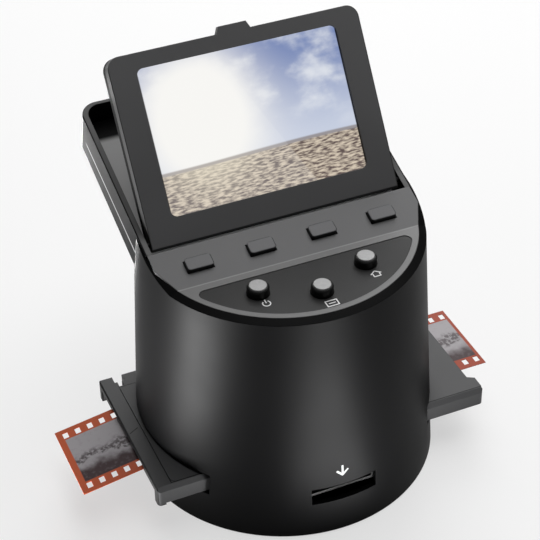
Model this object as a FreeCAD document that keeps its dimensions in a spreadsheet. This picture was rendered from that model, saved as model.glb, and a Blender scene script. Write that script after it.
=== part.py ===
import FreeCAD, Part
import math
import os
import re
import Sketcher

# Film scanner with a tilting screen, millimetres and degrees.
# Origin: centre of the round body on the table. +Z up, front towards -Y, film runs along X.

SIZES = {
    # round shell of the body
    "base_radius": 56.46,
    "shell_draft": 3.15,
    "shell_wall": 2.0,
    "shell_spare": 19.0,
    "foot_drop": 0.6,
    # sloping deck, the flatter pad in front of it and the shoulder around both
    "deck_height": 101.0,
    "deck_tilt": 17.4,
    "crease_reach": 18.1,
    "pad_tilt": 1.6,
    "shoulder_width": 2.65,
    "shoulder_drop": 1.2,
    "shoulder_side_shift": 0.3,
    "panel_thick": 2.0,
    "panel_flare": 1.136,
    "panel_side": 8.7,
    "panel_fit": 0.12,
    "ledge_width": 2.164,
    "ledge_drop": 12.5,
    "inset_reach": 3.0,
    "inset_border": 2.164,
    "inset_corner": 2.5,
    "inset_deep": 0.8,
    "inset_thick": 0.6,
    "inset_fit": 0.1,
    # tray behind the deck that the closed screen lies in
    "tray_flare": 0.5,
    "tray_wall": 2.2,
    "tray_front": 3.4,
    "tray_back": 69.8,
    "tray_deep": 17.4,
    "tray_rise": 1.4,
    "tray_corner": 6.5,
    "tray_fit": 0.1,
    "recess_front": 1.9,
    "recess_back": 68.5,
    "recess_deep": 9.8,
    "recess_corner": 5.0,
    "tray_floor": 2.0,
    "tray_skin": 2.0,
    "tray_hollow_side": 0.8,
    "tray_hollow_shift": 4.6,
    "notch_half": 7.0,
    "notch_deep": 3.2,
    "ribbon_slot_back": 9.0,
    "ribbon_slot_wide": 2.4,
    "ribbon_slot_half": 9.0,
    # screen lid, hinged at its lower edge
    "lid_open": 39.3,
    "hinge_back": 3.5,
    "hinge_deep": 1.8,
    "lid_side_gap": 1.2,
    "lid_toe": 2.7,
    "lid_length": 67.2,
    "lid_thick": 8.5,
    "lid_front_thick": 4.0,
    "lid_corner": 4.5,
    "lid_wall": 1.5,
    "lid_plate": 1.5,
    "lid_back_edge": 1.4,
    "window_side": 9.5,
    "window_low": 9.9,
    "window_tall": 51.7,
    "window_corner": 2.5,
    "pane_sunk": 0.8,
    "pane_thick": 0.65,
    "pane_border": 1.4,
    "pane_fit": 0.1,
    "lcd_thick": 3.0,
    "lcd_border": 2.2,
    "lcd_rib_half": 1.0,
    "lcd_rib_place": 28.0,
    "tab_half": 6.3,
    "tab_tip_half": 5.1,
    "tab_long": 2.5,
    "tab_thick": 2.6,
    "pin_radius": 1.0,
    "pin_bite": 5.0,
    "pin_end": 0.7,
    "press_fit": 0.02,
    "running_fit": 0.06,
    # four soft keys on the deck
    "key_pitch_share": 0.46117,
    "key_reach": 10.7,
    "key_half_wide": 4.8,
    "key_half_long": 2.6,
    "key_corner": 1.2,
    "key_edge": 0.4,
    "key_proud": 1.8,
    "key_fit": 0.15,
    "key_travel": 0.8,
    "flange_border": 1.1,
    "flange_thick": 1.0,
    "flange_gap": 0.1,
    "stem_radius": 1.5,
    "stem_long": 1.5,
    # three round buttons on the pad
    "power_side": 20.85,
    "scan_side": 1.0,
    "home_side": 19.0,
    "power_reach_share": 0.3742,
    "scan_reach_share": 0.6368,
    "home_reach_share": 0.3742,
    "button_radius": 3.85,
    "button_proud": 2.85,
    "button_edge": 0.5,
    "cap_radius": 3.1,
    "cap_seat": 0.6,
    "cap_proud": 0.4,
    "cap_edge": 0.2,
    "cap_fit": 0.05,
    # key boards and their switches
    "switch_half": 3.0,
    "switch_tall": 3.2,
    "plunger_radius": 1.6,
    "plunger_tall": 0.8,
    "board_thick": 1.6,
    "key_board_end": 6.12,
    "key_board_front": 15.6,
    "key_board_back": 5.4,
    "pad_board_end": 5.9,
    "pad_board_rear_edge": 4.9,
    "pad_board_front_edge": 4.5,
    "pad_board_nose": 13.0,
    "boss_radius": 2.0,
    "pad_boss_side": 10.0,
    # openings in the round wall
    "film_slot_fit": 1.9,
    "film_slot_low": 14.6,
    "film_slot_high": 23.5,
    "card_slot_half": 12.5,
    "card_slot_low": 14.5,
    "card_slot_high": 21.3,
    "slot_deep": 16.46,
    # base plate, feet and screws
    "plate_fit": 0.36,
    "plate_thick": 2.5,
    "boss_inset": 5.46,
    "boss_turn": 30.0,
    "screw_boss_radius": 3.5,
    "screw_boss_top": 13.0,
    "screw_radius": 1.5,
    "screw_long": 8.0,
    "screw_head_radius": 2.8,
    "screw_head_tall": 1.2,
    "screw_fit": 0.1,
    "foot_inset": 16.46,
    "foot_turn": 45.0,
    "foot_radius": 5.0,
    "foot_seat": 0.8,
    "foot_fit": 0.1,
    # film strip, 35 mm film
    "film_width": 35.0,
    "film_thick": 0.2,
    "film_height": 20.4,
    "film_left": 84.9,
    "film_right": 77.5,
    "film_bend": 58.0,
    "film_droop": 4.3,
    "perf_across": 2.8,
    "perf_along": 2.0,
    "perf_pitch": 4.75,
    "perf_edge": 2.0,
    "perf_first": 3.3,
    "perf_count": 34,
    # film holder
    "holder_side": 15.0,
    "holder_top": 22.2,
    "holder_low": 15.2,
    "holder_left": 62.3,
    "holder_right": 65.6,
    "holder_edge": 0.5,
    "holder_bevel": 1.5,
    "holder_corner": 1.5,
    "end_flange": 3.0,
    "end_flange_drop": 0.8,
    "end_leg": 3.5,
    "end_open": 48.0,
    "end_roof": 2.5,
    "thumb_tab_right": 68.2,
    "thumb_tab_inset": 7.2,
    "thumb_tab_slant": 1.5,
    "channel_side_play": 0.3,
    "channel_gap": 0.8,
    "channel_floor": 0.3,
    "holder_floor": 1.5,
    "frame_half_long": 18.4,
    "frame_side": 5.1,
    "light_pocket_half_long": 24.0,
    "light_pocket_side": 1.5,
    "groove_wide": 8.0,
    "cover_left": 56.4,
        "cover_front_rim": 1.9,
    "cover_back_rim": 7.0,
    "cover_corner": 2.5,
    "cover_fit": 0.12,
    "lug_side": 37.0,
    "lug_half": 3.0,
    "lug_rim": 2.9,
    "lug_fit": 0.3,
    "cover_pin_radius": 0.7,
    "cover_pin_rim": 4.5,
    "cover_pin_half": 6.0,
    "mark_notch_left": 57.0,
    "mark_notch_right": 53.0,
    "mark_notch_long": 4.0,
        "mark_slot_left": 56.0,
    "mark_slot_right": 54.2,
    "mark_slot_long": 2.6,
    "mark_slot_deep": 3.0,
    # guide rails for the holder and the leaf spring that steadies it
    "rail_fit": 0.2,
    "rail_thick": 3.8,
    "rail_half_long": 36.0,
    "rail_lip_wide": 2.3,
    "rail_lip_low": 22.5,
    "rail_top": 24.2,
    "rail_shelf": 15.0,
    "rail_shelf_thick": 2.0,
    "spring_thick": 0.35,
    "spring_wide": 3.6,
    "spring_low": 17.0,
    "spring_half_long": 13.0,
    "spring_nose": 4.0,
    "spring_sweep": 3.2,
    "spring_gap": 0.08,
    "spring_room": 0.35,
    # backlight under the film
    "light_half_long": 26.0,
    "light_rail_gap": 10.4,
    "light_top": 14.6,
    "light_wall": 1.5,
    "light_step": 0.8,
    "diffuser_thick": 1.4,
    "diffuser_fit": 0.1,
    "led_board_gap": 0.4,
    "led_half_long": 1.75,
    "led_half_wide": 1.4,
    "led_tall": 1.9,
    "led_pitch_long": 11.0,
    "led_pitch_wide": 9.0,
    "led_columns": 4,
    "led_rows": 3,
    # bridge over the film path and the camera on it
    "bridge_half_long": 28.0,
    "bridge_rail_gap": 1.0,
    "bridge_leg_wide": 10.0,
    "bridge_leg_thick": 2.5,
    "bridge_drop": 41.0,
    "bridge_foot_thick": 2.0,
    "bridge_foot_long": 5.0,
    "bridge_screw_side": 23.0,
    "bridge_screw_inset": 2.3,
    "bridge_screw_radius": 1.2,
    "bridge_screw_long": 3.2,
    "bridge_head_radius": 2.1,
    "bridge_head_tall": 1.3,
    "barrel_radius": 7.0,
    "barrel_hang": 14.0,
    "barrel_bore": 5.0,
    "barrel_fit": 0.03,
    "lens_fit": 0.02,
    "lens_thick": 3.0,
    "lens_sunk": 1.0,
    "mount_half": 10.0,
    "mount_tall": 6.0,
    "sensor_board_half": 14.0,
    "sensor_half": 4.0,
    "sensor_thick": 1.0,
    # main board, its rear socket and the card reader
    "main_board_inset": 12.46,
    "main_board_half": 17.0,
    "main_board_low": 8.0,
    "main_board_drop": 39.0,
    "board_post_side": 14.0,
    "board_post_half": 2.0,
    "board_post_grip": 1.5,
    "board_post_top": 13.0,
    "board_fit": 0.06,
    "chip_half": 6.0,
    "chip_thick": 1.2,
    "chip_drop": 55.0,
    "usb_half": 4.5,
    "usb_half_tall": 1.6,
    "usb_height": 30.0,
    "usb_inset": 2.06,
    "usb_wall": 0.35,
    "usb_tongue": 0.4,
    "usb_fit": 0.3,
    "card_half": 14.0,
    "card_inset": 5.26,
    "card_deep": 14.0,
    "card_low": 15.6,
    "card_tall": 3.8,
    "card_mouth_half": 12.1,
    "card_mouth_low": 1.0,
    "card_mouth_tall": 2.3,
    "card_mouth_wall": 1.5,
    "card_board_half": 17.0,
    "card_board_inset": 6.86,
    "card_post_side": 14.5,
    "card_post_inset": 14.46,
    "card_post_radius": 2.0,
    # flat ribbon from the screen to the main board
    "ribbon_half": 8.0,
    "ribbon_thick": 0.3,
    "ribbon_top": 11.0,
    "ribbon_knee_drop": 29.0,
    "ribbon_end_drop": 45.0,
    # one overrun for every cut
    "overrun": 6.0,
}

# Sizes that follow from the ones above
WORKED_OUT = {
    "reach": "1.6 * base_radius",
    "shell_tall": "deck_height + shell_spare",
    "crease_height": "deck_height - crease_reach * tan(deck_tilt)",
    "crease_radius": "base_radius - crease_height * tan(shell_draft)",
    "panel_radius": "crease_radius - shoulder_width",
    "panel_half": "panel_radius + panel_flare",
    "ledge_radius": "panel_radius - ledge_width",
    "ledge_low": "deck_height - ledge_drop",
    "inset_radius": "panel_radius - inset_border",
    "tray_half": "panel_half + tray_flare",
    "recess_half": "tray_half - tray_wall",
    "tray_hollow_radius": "recess_half - tray_hollow_side",
    "lid_half": "recess_half - lid_side_gap",
    "window_half": "lid_half - window_side",
    "key_pitch": "panel_half * key_pitch_share",
    "pad_long": "panel_radius - crease_reach",
    "power_reach": "pad_long * power_reach_share",
    "scan_reach": "pad_long * scan_reach_share",
    "home_reach": "pad_long * home_reach_share",
    "key_board_half": "1.5 * key_pitch + key_board_end",
    "pad_board_half": "power_side + pad_board_end",
    "pad_board_back": "power_reach - pad_board_rear_edge",
    "pad_board_mid": "power_reach + pad_board_front_edge",
    "pad_board_front": "scan_reach + pad_board_front_edge",
    "slot_inner": "base_radius - slot_deep",
    "plate_radius": "base_radius - shell_wall - plate_fit",
    "boss_ring": "base_radius - boss_inset",
    "foot_ring": "base_radius - foot_inset",
    "bridge_top": "deck_height - bridge_drop",
    "barrel_low": "bridge_top - barrel_hang",
    "main_board_back": "base_radius - main_board_inset",
    "main_board_high": "deck_height - main_board_drop",
    "chip_height": "deck_height - chip_drop",
    "usb_end": "base_radius - usb_inset",
    "card_front": "base_radius - card_inset",
    "card_back": "card_front - card_deep",
    "card_board_front": "base_radius - card_board_inset",
    "card_post_reach": "base_radius - card_post_inset",
    "ribbon_knee": "deck_height - ribbon_knee_drop",
    "ribbon_end": "deck_height - ribbon_end_drop",
    "holder_half": "film_width / 2 + holder_side",
    "thumb_tab_step": "holder_half - thumb_tab_inset",
    "thumb_tab_base": "thumb_tab_step - thumb_tab_slant",
    "frame_half_wide": "film_width / 2 - frame_side",
    "light_pocket_half_wide": "film_width / 2 - light_pocket_side",
    "cover_front": "holder_half - cover_front_rim",
    "cover_back": "holder_half - cover_back_rim",
    "lug_back": "holder_half - lug_rim",
    "cover_pin_back": "holder_half - cover_pin_rim",
    "mark_notch_front": "holder_half - mark_notch_long",
    "mark_slot_front": "mark_notch_front - mark_slot_long",
    "film_slot_half": "holder_half + film_slot_fit",
    "rail_inner": "holder_half + rail_fit",
    "rail_outer": "rail_inner + rail_thick",
    "rail_lip": "rail_inner - rail_lip_wide",
    "light_half_wide": "rail_lip - light_rail_gap",
    "bridge_half_wide": "rail_outer + bridge_rail_gap + bridge_leg_thick",
    "bridge_foot_end": "bridge_half_wide + bridge_foot_long",
    "bridge_screw_back": "bridge_foot_end - bridge_screw_inset",
}

doc = FreeCAD.newDocument("film_scanner")
sheet = doc.addObject("Spreadsheet::Sheet", "Sizes")
cells = {**SIZES, **{size_name: f"={text}" for size_name, text in WORKED_OUT.items()}}
for row, (size_name, content) in enumerate(cells.items(), 1):
    sheet.set(f"A{row}", size_name)
    sheet.setAlias(f"B{row}", size_name)
    sheet.set(f"B{row}", str(content))
doc.recompute()

finished = []


def linked(text):
    """Point each size name in a formula at its cell."""
    return re.sub(r"[a-z]\w*", lambda m: f"Sizes.{m[0]}" if m[0] in cells else m[0], text)


def value(text):
    """Work out a formula from the cells."""
    return float(sheet.evalExpression(linked(text)))


def bind(item, prop, text):
    item.setExpression(prop, linked(text))


# Formulas that several pieces share
PLATE_TOP = "(foot_drop + plate_thick)"
PANEL_DEEP = "(panel_thick * cos(deck_tilt))"
FLANGE_TOP_KEY = f"({PANEL_DEEP} + flange_gap)"
FLANGE_TOP_BUTTON = "(panel_thick + flange_gap)"
KEY_STACK = "(flange_thick + stem_long + key_travel + flange_gap + plunger_tall + switch_tall)"
KEY_BOARD_DEEP = f"({FLANGE_TOP_KEY} + {KEY_STACK})"
PAD_BOARD_DEEP = f"({FLANGE_TOP_BUTTON} + {KEY_STACK})"
LID_SPLIT = "(hinge_deep - lid_front_thick)"
LID_BACK = "(hinge_deep - lid_thick)"
LID_TOP = "(lid_length - lid_toe)"
CHANNEL_LOW = "(film_height - channel_floor)"
CHANNEL_HIGH = "(film_height - channel_floor + channel_gap)"
CHANNEL_HALF = "(film_width / 2 + channel_side_play)"
COVER_PIN_HEIGHT = f"(({CHANNEL_LOW} + holder_top) / 2)"
LIGHT_LOW = PLATE_TOP
LED_BOARD_TOP = f"({LIGHT_LOW} + light_wall + board_thick)"
BOARD_REAR = "(main_board_back + board_thick)"
DECK = ("0", "deck_height", "deck_tilt")
PAD = ("-crease_reach", "crease_height", "pad_tilt")

# How near two points of the model count as one, and as one corner
SAME = 0.001
NEAR = 0.05

# Key places as shares of the key pitch, and the buttons' places on the pad
KEY_SHARES = (-1.5, -0.5, 0.5, 1.5)
BUTTONS = (("power_button", "-power_side", "power_reach"),
           ("scan_button", "-scan_side", "scan_reach"),
           ("home_button", "home_side", "home_reach"))


def shell_radius(height, inset="0"):
    return f"(base_radius - ({height}) * tan(shell_draft) - ({inset}))"


def deck_line(drop):
    """Side view of the deck and the pad, lowered by drop, from the front to the back."""
    return [
        ("-reach", f"crease_height - (reach - crease_reach) * tan(pad_tilt) - ({drop})"),
        ("-crease_reach", f"crease_height - ({drop})"),
        ("reach", f"deck_height + reach * tan(deck_tilt) - ({drop})"),
    ]


# Sketch shapes: each is a list of steps, and a step with a third entry ends an arc
def box(left, low, right, high):
    return [(left, low), (right, low), (right, high), (left, high)]


def rounded_back(half, front, back, corner):
    """Box plan whose two rear corners are round."""
    return [
        (f"-({half})", front),
        (half, front),
        (half, f"{back} - {corner}"),
        (f"{half} - {corner}", back, corner),
        (f"-({half}) + {corner}", back),
        (f"-({half})", f"{back} - {corner}", corner),
    ]


def ring(across, along, radius):
    return ("ring", across, along, radius)


def join_constraints(sketch, ends):
    for here, following in zip(ends, ends[1:] + ends[:1]):
        sketch.addConstraint(
            Sketcher.Constraint("Coincident", here[0], here[2], following[0], following[1]))


def fix_point(sketch, edge, end, across, along):
    """Tie one end of an edge to two formulas."""
    for kind, axis, text in (("DistanceX", -2, across), ("DistanceY", -1, along)):
        if text == "0":
            sketch.addConstraint(Sketcher.Constraint("PointOnObject", edge, end, axis))
        else:
            rule = Sketcher.Constraint(kind, -1, 1, edge, end, value(text))
            index = sketch.addConstraint(rule)
            bind(sketch, f"Constraints[{index}]", text)


def arc_between(start, finish, radius):
    """Anticlockwise arc of the given radius, shorter than a half circle."""
    chord = finish - start
    rise = math.sqrt(radius ** 2 - (chord.Length / 2) ** 2)
    side = FreeCAD.Vector(-chord.y, chord.x, 0).normalize()
    centre = (start + finish) / 2 + side * rise
    first = math.atan2(start.y - centre.y, start.x - centre.x)
    last = math.atan2(finish.y - centre.y, finish.x - centre.x)
    return Part.ArcOfCircle(Part.Circle(centre, FreeCAD.Vector(0, 0, 1), radius), first, last)


def draw_loop(sketch, steps):
    points = [FreeCAD.Vector(value(step[0]), value(step[1]), 0) for step in steps]
    ends = []
    for index, step in enumerate(steps):
        start = points[index - 1]
        if len(step) == 3:
            edge = sketch.addGeometry(arc_between(start, points[index], value(step[2])), False)
            rule = sketch.addConstraint(Sketcher.Constraint("Radius", edge, value(step[2])))
            bind(sketch, f"Constraints[{rule}]", step[2])
        else:
            edge = sketch.addGeometry(Part.LineSegment(start, points[index]), False)
        ends.append((edge, 1, 2))
    join_constraints(sketch, ends)
    for (edge, _, end), step in zip(ends, steps):
        fix_point(sketch, edge, end, step[0], step[1])


def draw_ring(sketch, across, along, radius):
    centre = FreeCAD.Vector(value(across), value(along), 0)
    circle = Part.Circle(centre, FreeCAD.Vector(0, 0, 1), value(radius))
    edge = sketch.addGeometry(circle, False)
    rule = sketch.addConstraint(Sketcher.Constraint("Radius", edge, value(radius)))
    bind(sketch, f"Constraints[{rule}]", radius)
    fix_point(sketch, edge, 3, across, along)


def draw(body, name, plane, shapes, start="0", frame=None):
    """Sketch on one of the body's own planes, or on a sloping frame over its XY plane."""
    sketch = body.newObject("Sketcher::SketchObject", name)
    support = next(item for item in body.Origin.OriginFeatures if item.Role == f"{plane}_Plane")
    sketch.AttachmentSupport = [(support, "")]
    sketch.MapMode = "FlatFace"
    if frame is None:
        bind(sketch, "AttachmentOffset.Base.z", start)
    else:
        along, height, tilt = frame
        turn = FreeCAD.Rotation(FreeCAD.Vector(1, 0, 0), value(tilt))
        sketch.AttachmentOffset = FreeCAD.Placement(FreeCAD.Vector(), turn)
        bind(sketch, "AttachmentOffset.Rotation.Angle", tilt)
        bind(sketch, "AttachmentOffset.Base.y", f"{along} - ({start}) * sin({tilt})")
        bind(sketch, "AttachmentOffset.Base.z", f"{height} + ({start}) * cos({tilt})")
    for shape in shapes:
        if shape[0] == "ring":
            draw_ring(sketch, *shape[1:])
        else:
            draw_loop(sketch, shape)
    return sketch


def new_body(label):
    body = doc.addObject("PartDesign::Body", label)
    body.Label = label
    return body


def pad(body, name, plane, shapes, start, length, frame=None):
    """Add material from start to start + length along the plane's normal."""
    sketch = draw(body, f"{name}_sketch", plane, shapes, start, frame)
    feature = body.newObject("PartDesign::Pad", name)
    feature.Profile = sketch
    bind(feature, "Length", length)
    doc.recompute()
    return feature


def pocket(body, name, plane, shapes, start, length, frame=None):
    """Remove material from start to start + length along the plane's normal."""
    before = body.Shape.Volume
    sketch = draw(body, f"{name}_sketch", plane, shapes, start, frame)
    feature = body.newObject("PartDesign::Pocket", name)
    feature.Profile = sketch
    feature.Reversed = True
    bind(feature, "Length", length)
    doc.recompute()
    if body.Shape.Volume >= before:
        raise RuntimeError(f"{body.Label}: {name} removes nothing")
    return feature


def turned(body, name, steps):
    """Solid of revolution about Z, from a half profile in the XZ plane."""
    sketch = draw(body, f"{name}_sketch", "XZ", [steps])
    feature = body.newObject("PartDesign::Revolution", name)
    feature.Profile = sketch
    feature.ReferenceAxis = (sketch, ["V_Axis"])
    doc.recompute()
    return feature


def hollow(body, name, steps):
    """Remove a solid of revolution about Z."""
    sketch = draw(body, f"{name}_sketch", "XZ", [steps])
    feature = body.newObject("PartDesign::Groove", name)
    feature.Profile = sketch
    feature.ReferenceAxis = (sketch, ["V_Axis"])
    doc.recompute()
    return feature


def edge_names(shape, test):
    return [f"Edge{n}" for n, edge in enumerate(shape.Edges, 1) if test(edge)]


def upright_edges(body, corners):
    """Straight edges along Z that stand over the given corners."""
    spots = [(value(across), value(along)) for across, along in corners]

    def test(edge):
        ends = [vertex.Point for vertex in edge.Vertexes]
        if len(ends) != 2 or abs(ends[0].x - ends[1].x) + abs(ends[0].y - ends[1].y) > SAME:
            return False
        return any(math.hypot(ends[0].x - x, ends[0].y - y) < NEAR for x, y in spots)

    return edge_names(body.Tip.Shape, test)


def rim_edges(body, height):
    """Edges that lie flat at one height."""
    level = value(height)

    def test(edge):
        bounds = edge.BoundBox
        return abs(bounds.ZMin - level) < SAME and abs(bounds.ZMax - level) < SAME

    return edge_names(body.Tip.Shape, test)


def round_edges(body, name, edges, radius):
    base = body.Tip
    feature = body.newObject("PartDesign::Fillet", name)
    feature.Base = (base, edges)
    bind(feature, "Radius", radius)
    doc.recompute()
    return feature


def bevel_edges(body, name, edges, size):
    base = body.Tip
    feature = body.newObject("PartDesign::Chamfer", name)
    feature.Base = (base, edges)
    bind(feature, "Size", size)
    doc.recompute()
    return feature


def place(item, across, along, height, tilt="0"):
    turn = FreeCAD.Rotation(FreeCAD.Vector(1, 0, 0), value(tilt))
    item.Placement = FreeCAD.Placement(FreeCAD.Vector(), turn)
    for axis, text in zip("xyz", (across, along, height)):
        bind(item, f"Placement.Base.{axis}", text)
    if tilt != "0":
        bind(item, "Placement.Rotation.Angle", tilt)


def place_on(item, frame, across, along, lift="0"):
    """Place an item on the deck or the pad, along its slope and lifted off it."""
    front, height, tilt = frame
    place(item, across,
          f"{front} + ({along}) * cos({tilt}) - ({lift}) * sin({tilt})",
          f"{height} + ({along}) * sin({tilt}) + ({lift}) * cos({tilt})", tilt)


def combined(kind, label, base, tool):
    item = doc.addObject(kind, label)
    item.Label = label
    item.Base = base
    item.Tool = tool
    return item


def joined(label, items):
    item = doc.addObject("Part::MultiFuse", label)
    item.Label = label
    item.Shapes = items
    return item


def grouped(label, items):
    """Identical loose pieces that share one node."""
    item = doc.addObject("Part::Compound", label)
    item.Label = label
    item.Links = items
    finished.append(item)
    return item


def keep(item):
    finished.append(item)
    return item


def plate(label, left, front, right, back, low, thick):
    """Plain rectangular plate or block lying in the XY plane."""
    body = new_body(label)
    pad(body, f"{label}_block", "XY", [box(left, front, right, back)], low, thick)
    return body


def rod(label, radius, length, direction="z"):
    item = doc.addObject("Part::Cylinder", label)
    item.Label = label
    bind(item, "Radius", radius)
    bind(item, "Height", length)
    if direction == "x":
        turn = FreeCAD.Rotation(FreeCAD.Vector(0, 1, 0), 90)
        item.Placement = FreeCAD.Placement(FreeCAD.Vector(), turn)
    return item


def move(item, across, along, height):
    for axis, text in zip("xyz", (across, along, height)):
        bind(item, f"Placement.Base.{axis}", text)


def panel_outline(gap):
    """Plan of the deck panel, with its chamfered sides and round front."""
    half = f"(panel_half + {gap})"
    crease = f"sqrt((panel_radius + {gap}) ^ 2 - crease_reach ^ 2)"
    return [
        (half, "overrun"),
        (f"-{half}", "overrun"),
        (f"-{half}", "-panel_side"),
        (f"-{crease}", "-crease_reach"),
        (crease, "-crease_reach", f"(panel_radius + {gap})"),
        (half, "-panel_side"),
    ]


def tray_outline(gap):
    return rounded_back(f"(tray_half + {gap})", f"-(tray_front + {gap})", f"(tray_back + {gap})",
                        "tray_corner")


def make_body_shell():
    """Round outer shell with its shoulder, ledge, screw bosses and slots."""
    body = new_body("shell_wall_part")
    low = "foot_drop"
    turned(body, "shell_profile", [
        ("0", low),
        (shell_radius(low), low),
        (shell_radius("shell_tall"), "shell_tall"),
        ("0", "shell_tall"),
    ])
    over = [("reach", "shell_tall + reach"), ("-reach", "shell_tall + reach")]
    pocket(body, "shell_slope", "YZ", [deck_line("0") + over], "-reach", "2 * reach")
    hollow(body, "shell_hollow", [
        ("0", low),
        (shell_radius(low, "shell_wall"), low),
        (shell_radius("ledge_low", "shell_wall"), "ledge_low"),
        ("ledge_radius", "ledge_low + shell_wall"),
        ("ledge_radius", "shell_tall"),
        ("0", "shell_tall"),
    ])
    bosses = [ring(f"{across} * boss_ring * cos(boss_turn)", f"{along} * boss_ring * sin(boss_turn)",
                   "screw_boss_radius") for across in (-1, 1) for along in (-1, 1)]
    pad(body, "shell_bosses", "XY", bosses, PLATE_TOP, f"screw_boss_top - {PLATE_TOP}")
    holes = [ring(f"{across} * boss_ring * cos(boss_turn)", f"{along} * boss_ring * sin(boss_turn)",
                  "screw_radius + press_fit") for across in (-1, 1) for along in (-1, 1)]
    pocket(body, "shell_boss_holes", "XY", holes, PLATE_TOP, "screw_long")
    film_slot = box("-film_slot_half", "film_slot_low", "film_slot_half", "film_slot_high")
    pocket(body, "film_slot", "YZ", [film_slot], "-reach", "2 * reach")
    card_slot = box("-card_slot_half", "card_slot_low", "card_slot_half", "card_slot_high")
    pocket(body, "card_slot", "XZ", [card_slot], "slot_inner", "reach - slot_inner")
    usb_hole = box("-(usb_half + usb_fit)", "usb_height - usb_half_tall - usb_fit",
                   "usb_half + usb_fit", "usb_height + usb_half_tall + usb_fit")
    pocket(body, "usb_hole", "XZ", [usb_hole], "-reach", "reach - slot_inner")
    tray_room = new_body("tray_room")
    pad(tray_room, "tray_room_pad", "XY", [tray_outline("tray_fit")],
        "-tray_deep - tray_fit", "tray_deep + tray_fit + overrun")
    place_on(tray_room, DECK, "0", "0")
    panel_room = new_body("panel_room")
    pad(panel_room, "panel_room_pad", "XY", [panel_outline("panel_fit")],
        "deck_height / 2", "deck_height")
    seat_band = new_body("seat_band")
    pad(seat_band, "seat_band_pad", "YZ", [deck_line("panel_thick") + over], "-reach", "2 * reach")
    seat = combined("Part::Common", "panel_seat", panel_room, seat_band)
    front = shoulder_room("shoulder_front", PAD, "crease_reach / cos(pad_tilt)", "panel_radius",
                          "crease_reach", "reach")
    side = shoulder_room("shoulder_side", DECK, "0", "panel_radius + shoulder_side_shift",
                         "-overrun * 2", "crease_reach")
    rooms = joined("shell_rooms", [tray_room, seat, front, side])
    return keep(combined("Part::Cut", "body_shell", body, rooms))


def shoulder_room(label, frame, centre, radius, near, far):
    """Space over the bevelled shoulder, between two distances in front of the middle."""
    cone = new_body(f"{label}_cone")
    rise = "(shoulder_drop * overrun / shoulder_width)"
    turned(cone, f"{label}_profile", [
        (radius, "0"),
        (f"{radius} + shoulder_width + overrun", f"-shoulder_drop - {rise}"),
        (f"{radius} + shoulder_width + overrun", "overrun"),
        (radius, "overrun"),
    ])
    place_on(cone, frame, "0", centre)
    span = plate(f"{label}_span", "-reach", f"-({far})", "reach", f"-({near})",
                 "deck_height / 2", "deck_height")
    return combined("Part::Common", label, cone, span)


def make_tray_housing():
    """Tray behind the deck; modelled square to the deck and then tilted with it."""
    body = new_body("tray_housing")
    pad(body, "tray_block", "XY", [tray_outline("0")], "-tray_deep", "tray_deep")
    under = [("-overrun - tray_front", "-tray_deep"), ("tray_back + overrun", "-tray_deep + tray_rise"),
             ("tray_back + overrun", "-tray_deep - overrun"),
             ("-overrun - tray_front", "-tray_deep - overrun")]
    pocket(body, "tray_under", "YZ", [under], "-reach", "2 * reach")
    floor_low = "-recess_deep - tray_floor"
    inner = rounded_back("recess_half", "-recess_front", "recess_back", "recess_corner")
    pocket(body, "tray_recess", "XY", [inner], "-recess_deep", "recess_deep + overrun")
    chord = "sqrt(tray_hollow_radius ^ 2 - (tray_hollow_shift - recess_front) ^ 2)"
    down_hole = [(chord, "-recess_front"),
                 ("0", "tray_hollow_radius - tray_hollow_shift", "tray_hollow_radius"),
                 (f"-({chord})", "-recess_front", "tray_hollow_radius")]
    pocket(body, "tray_down_hole", "XY", [down_hole], "-tray_deep - overrun",
           f"tray_deep + overrun + ({floor_low})")
    inside = box("-recess_half", "-recess_front", "recess_half", "recess_back - recess_corner")
    pocket(body, "tray_hollow", "XY", [inside], "-tray_deep + tray_rise + tray_skin",
           f"tray_deep - tray_rise - tray_skin + ({floor_low})")
    lap = box("-reach", "-tray_front - overrun", "reach", "-recess_front")
    pocket(body, "tray_lap", "XY", [lap], f"-{PANEL_DEEP} - panel_fit", "overrun + panel_thick")
    notch = box("-notch_half", "recess_back - recess_corner", "notch_half", "tray_back + overrun")
    pocket(body, "tab_notch", "XY", [notch], "-notch_deep", "notch_deep + overrun")
    slot = box("-ribbon_slot_half", "ribbon_slot_back", "ribbon_slot_half",
               "ribbon_slot_back + ribbon_slot_wide")
    pocket(body, "ribbon_slot", "XY", [slot], floor_low + " - overrun / 2", "tray_floor + overrun")
    bores = [ring("hinge_back", "-hinge_deep", "pin_radius + running_fit")]
    pocket(body, "hinge_bores", "YZ", bores, "-reach", "2 * reach")
    place_on(body, DECK, "0", "0")
    return keep(body)


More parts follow.
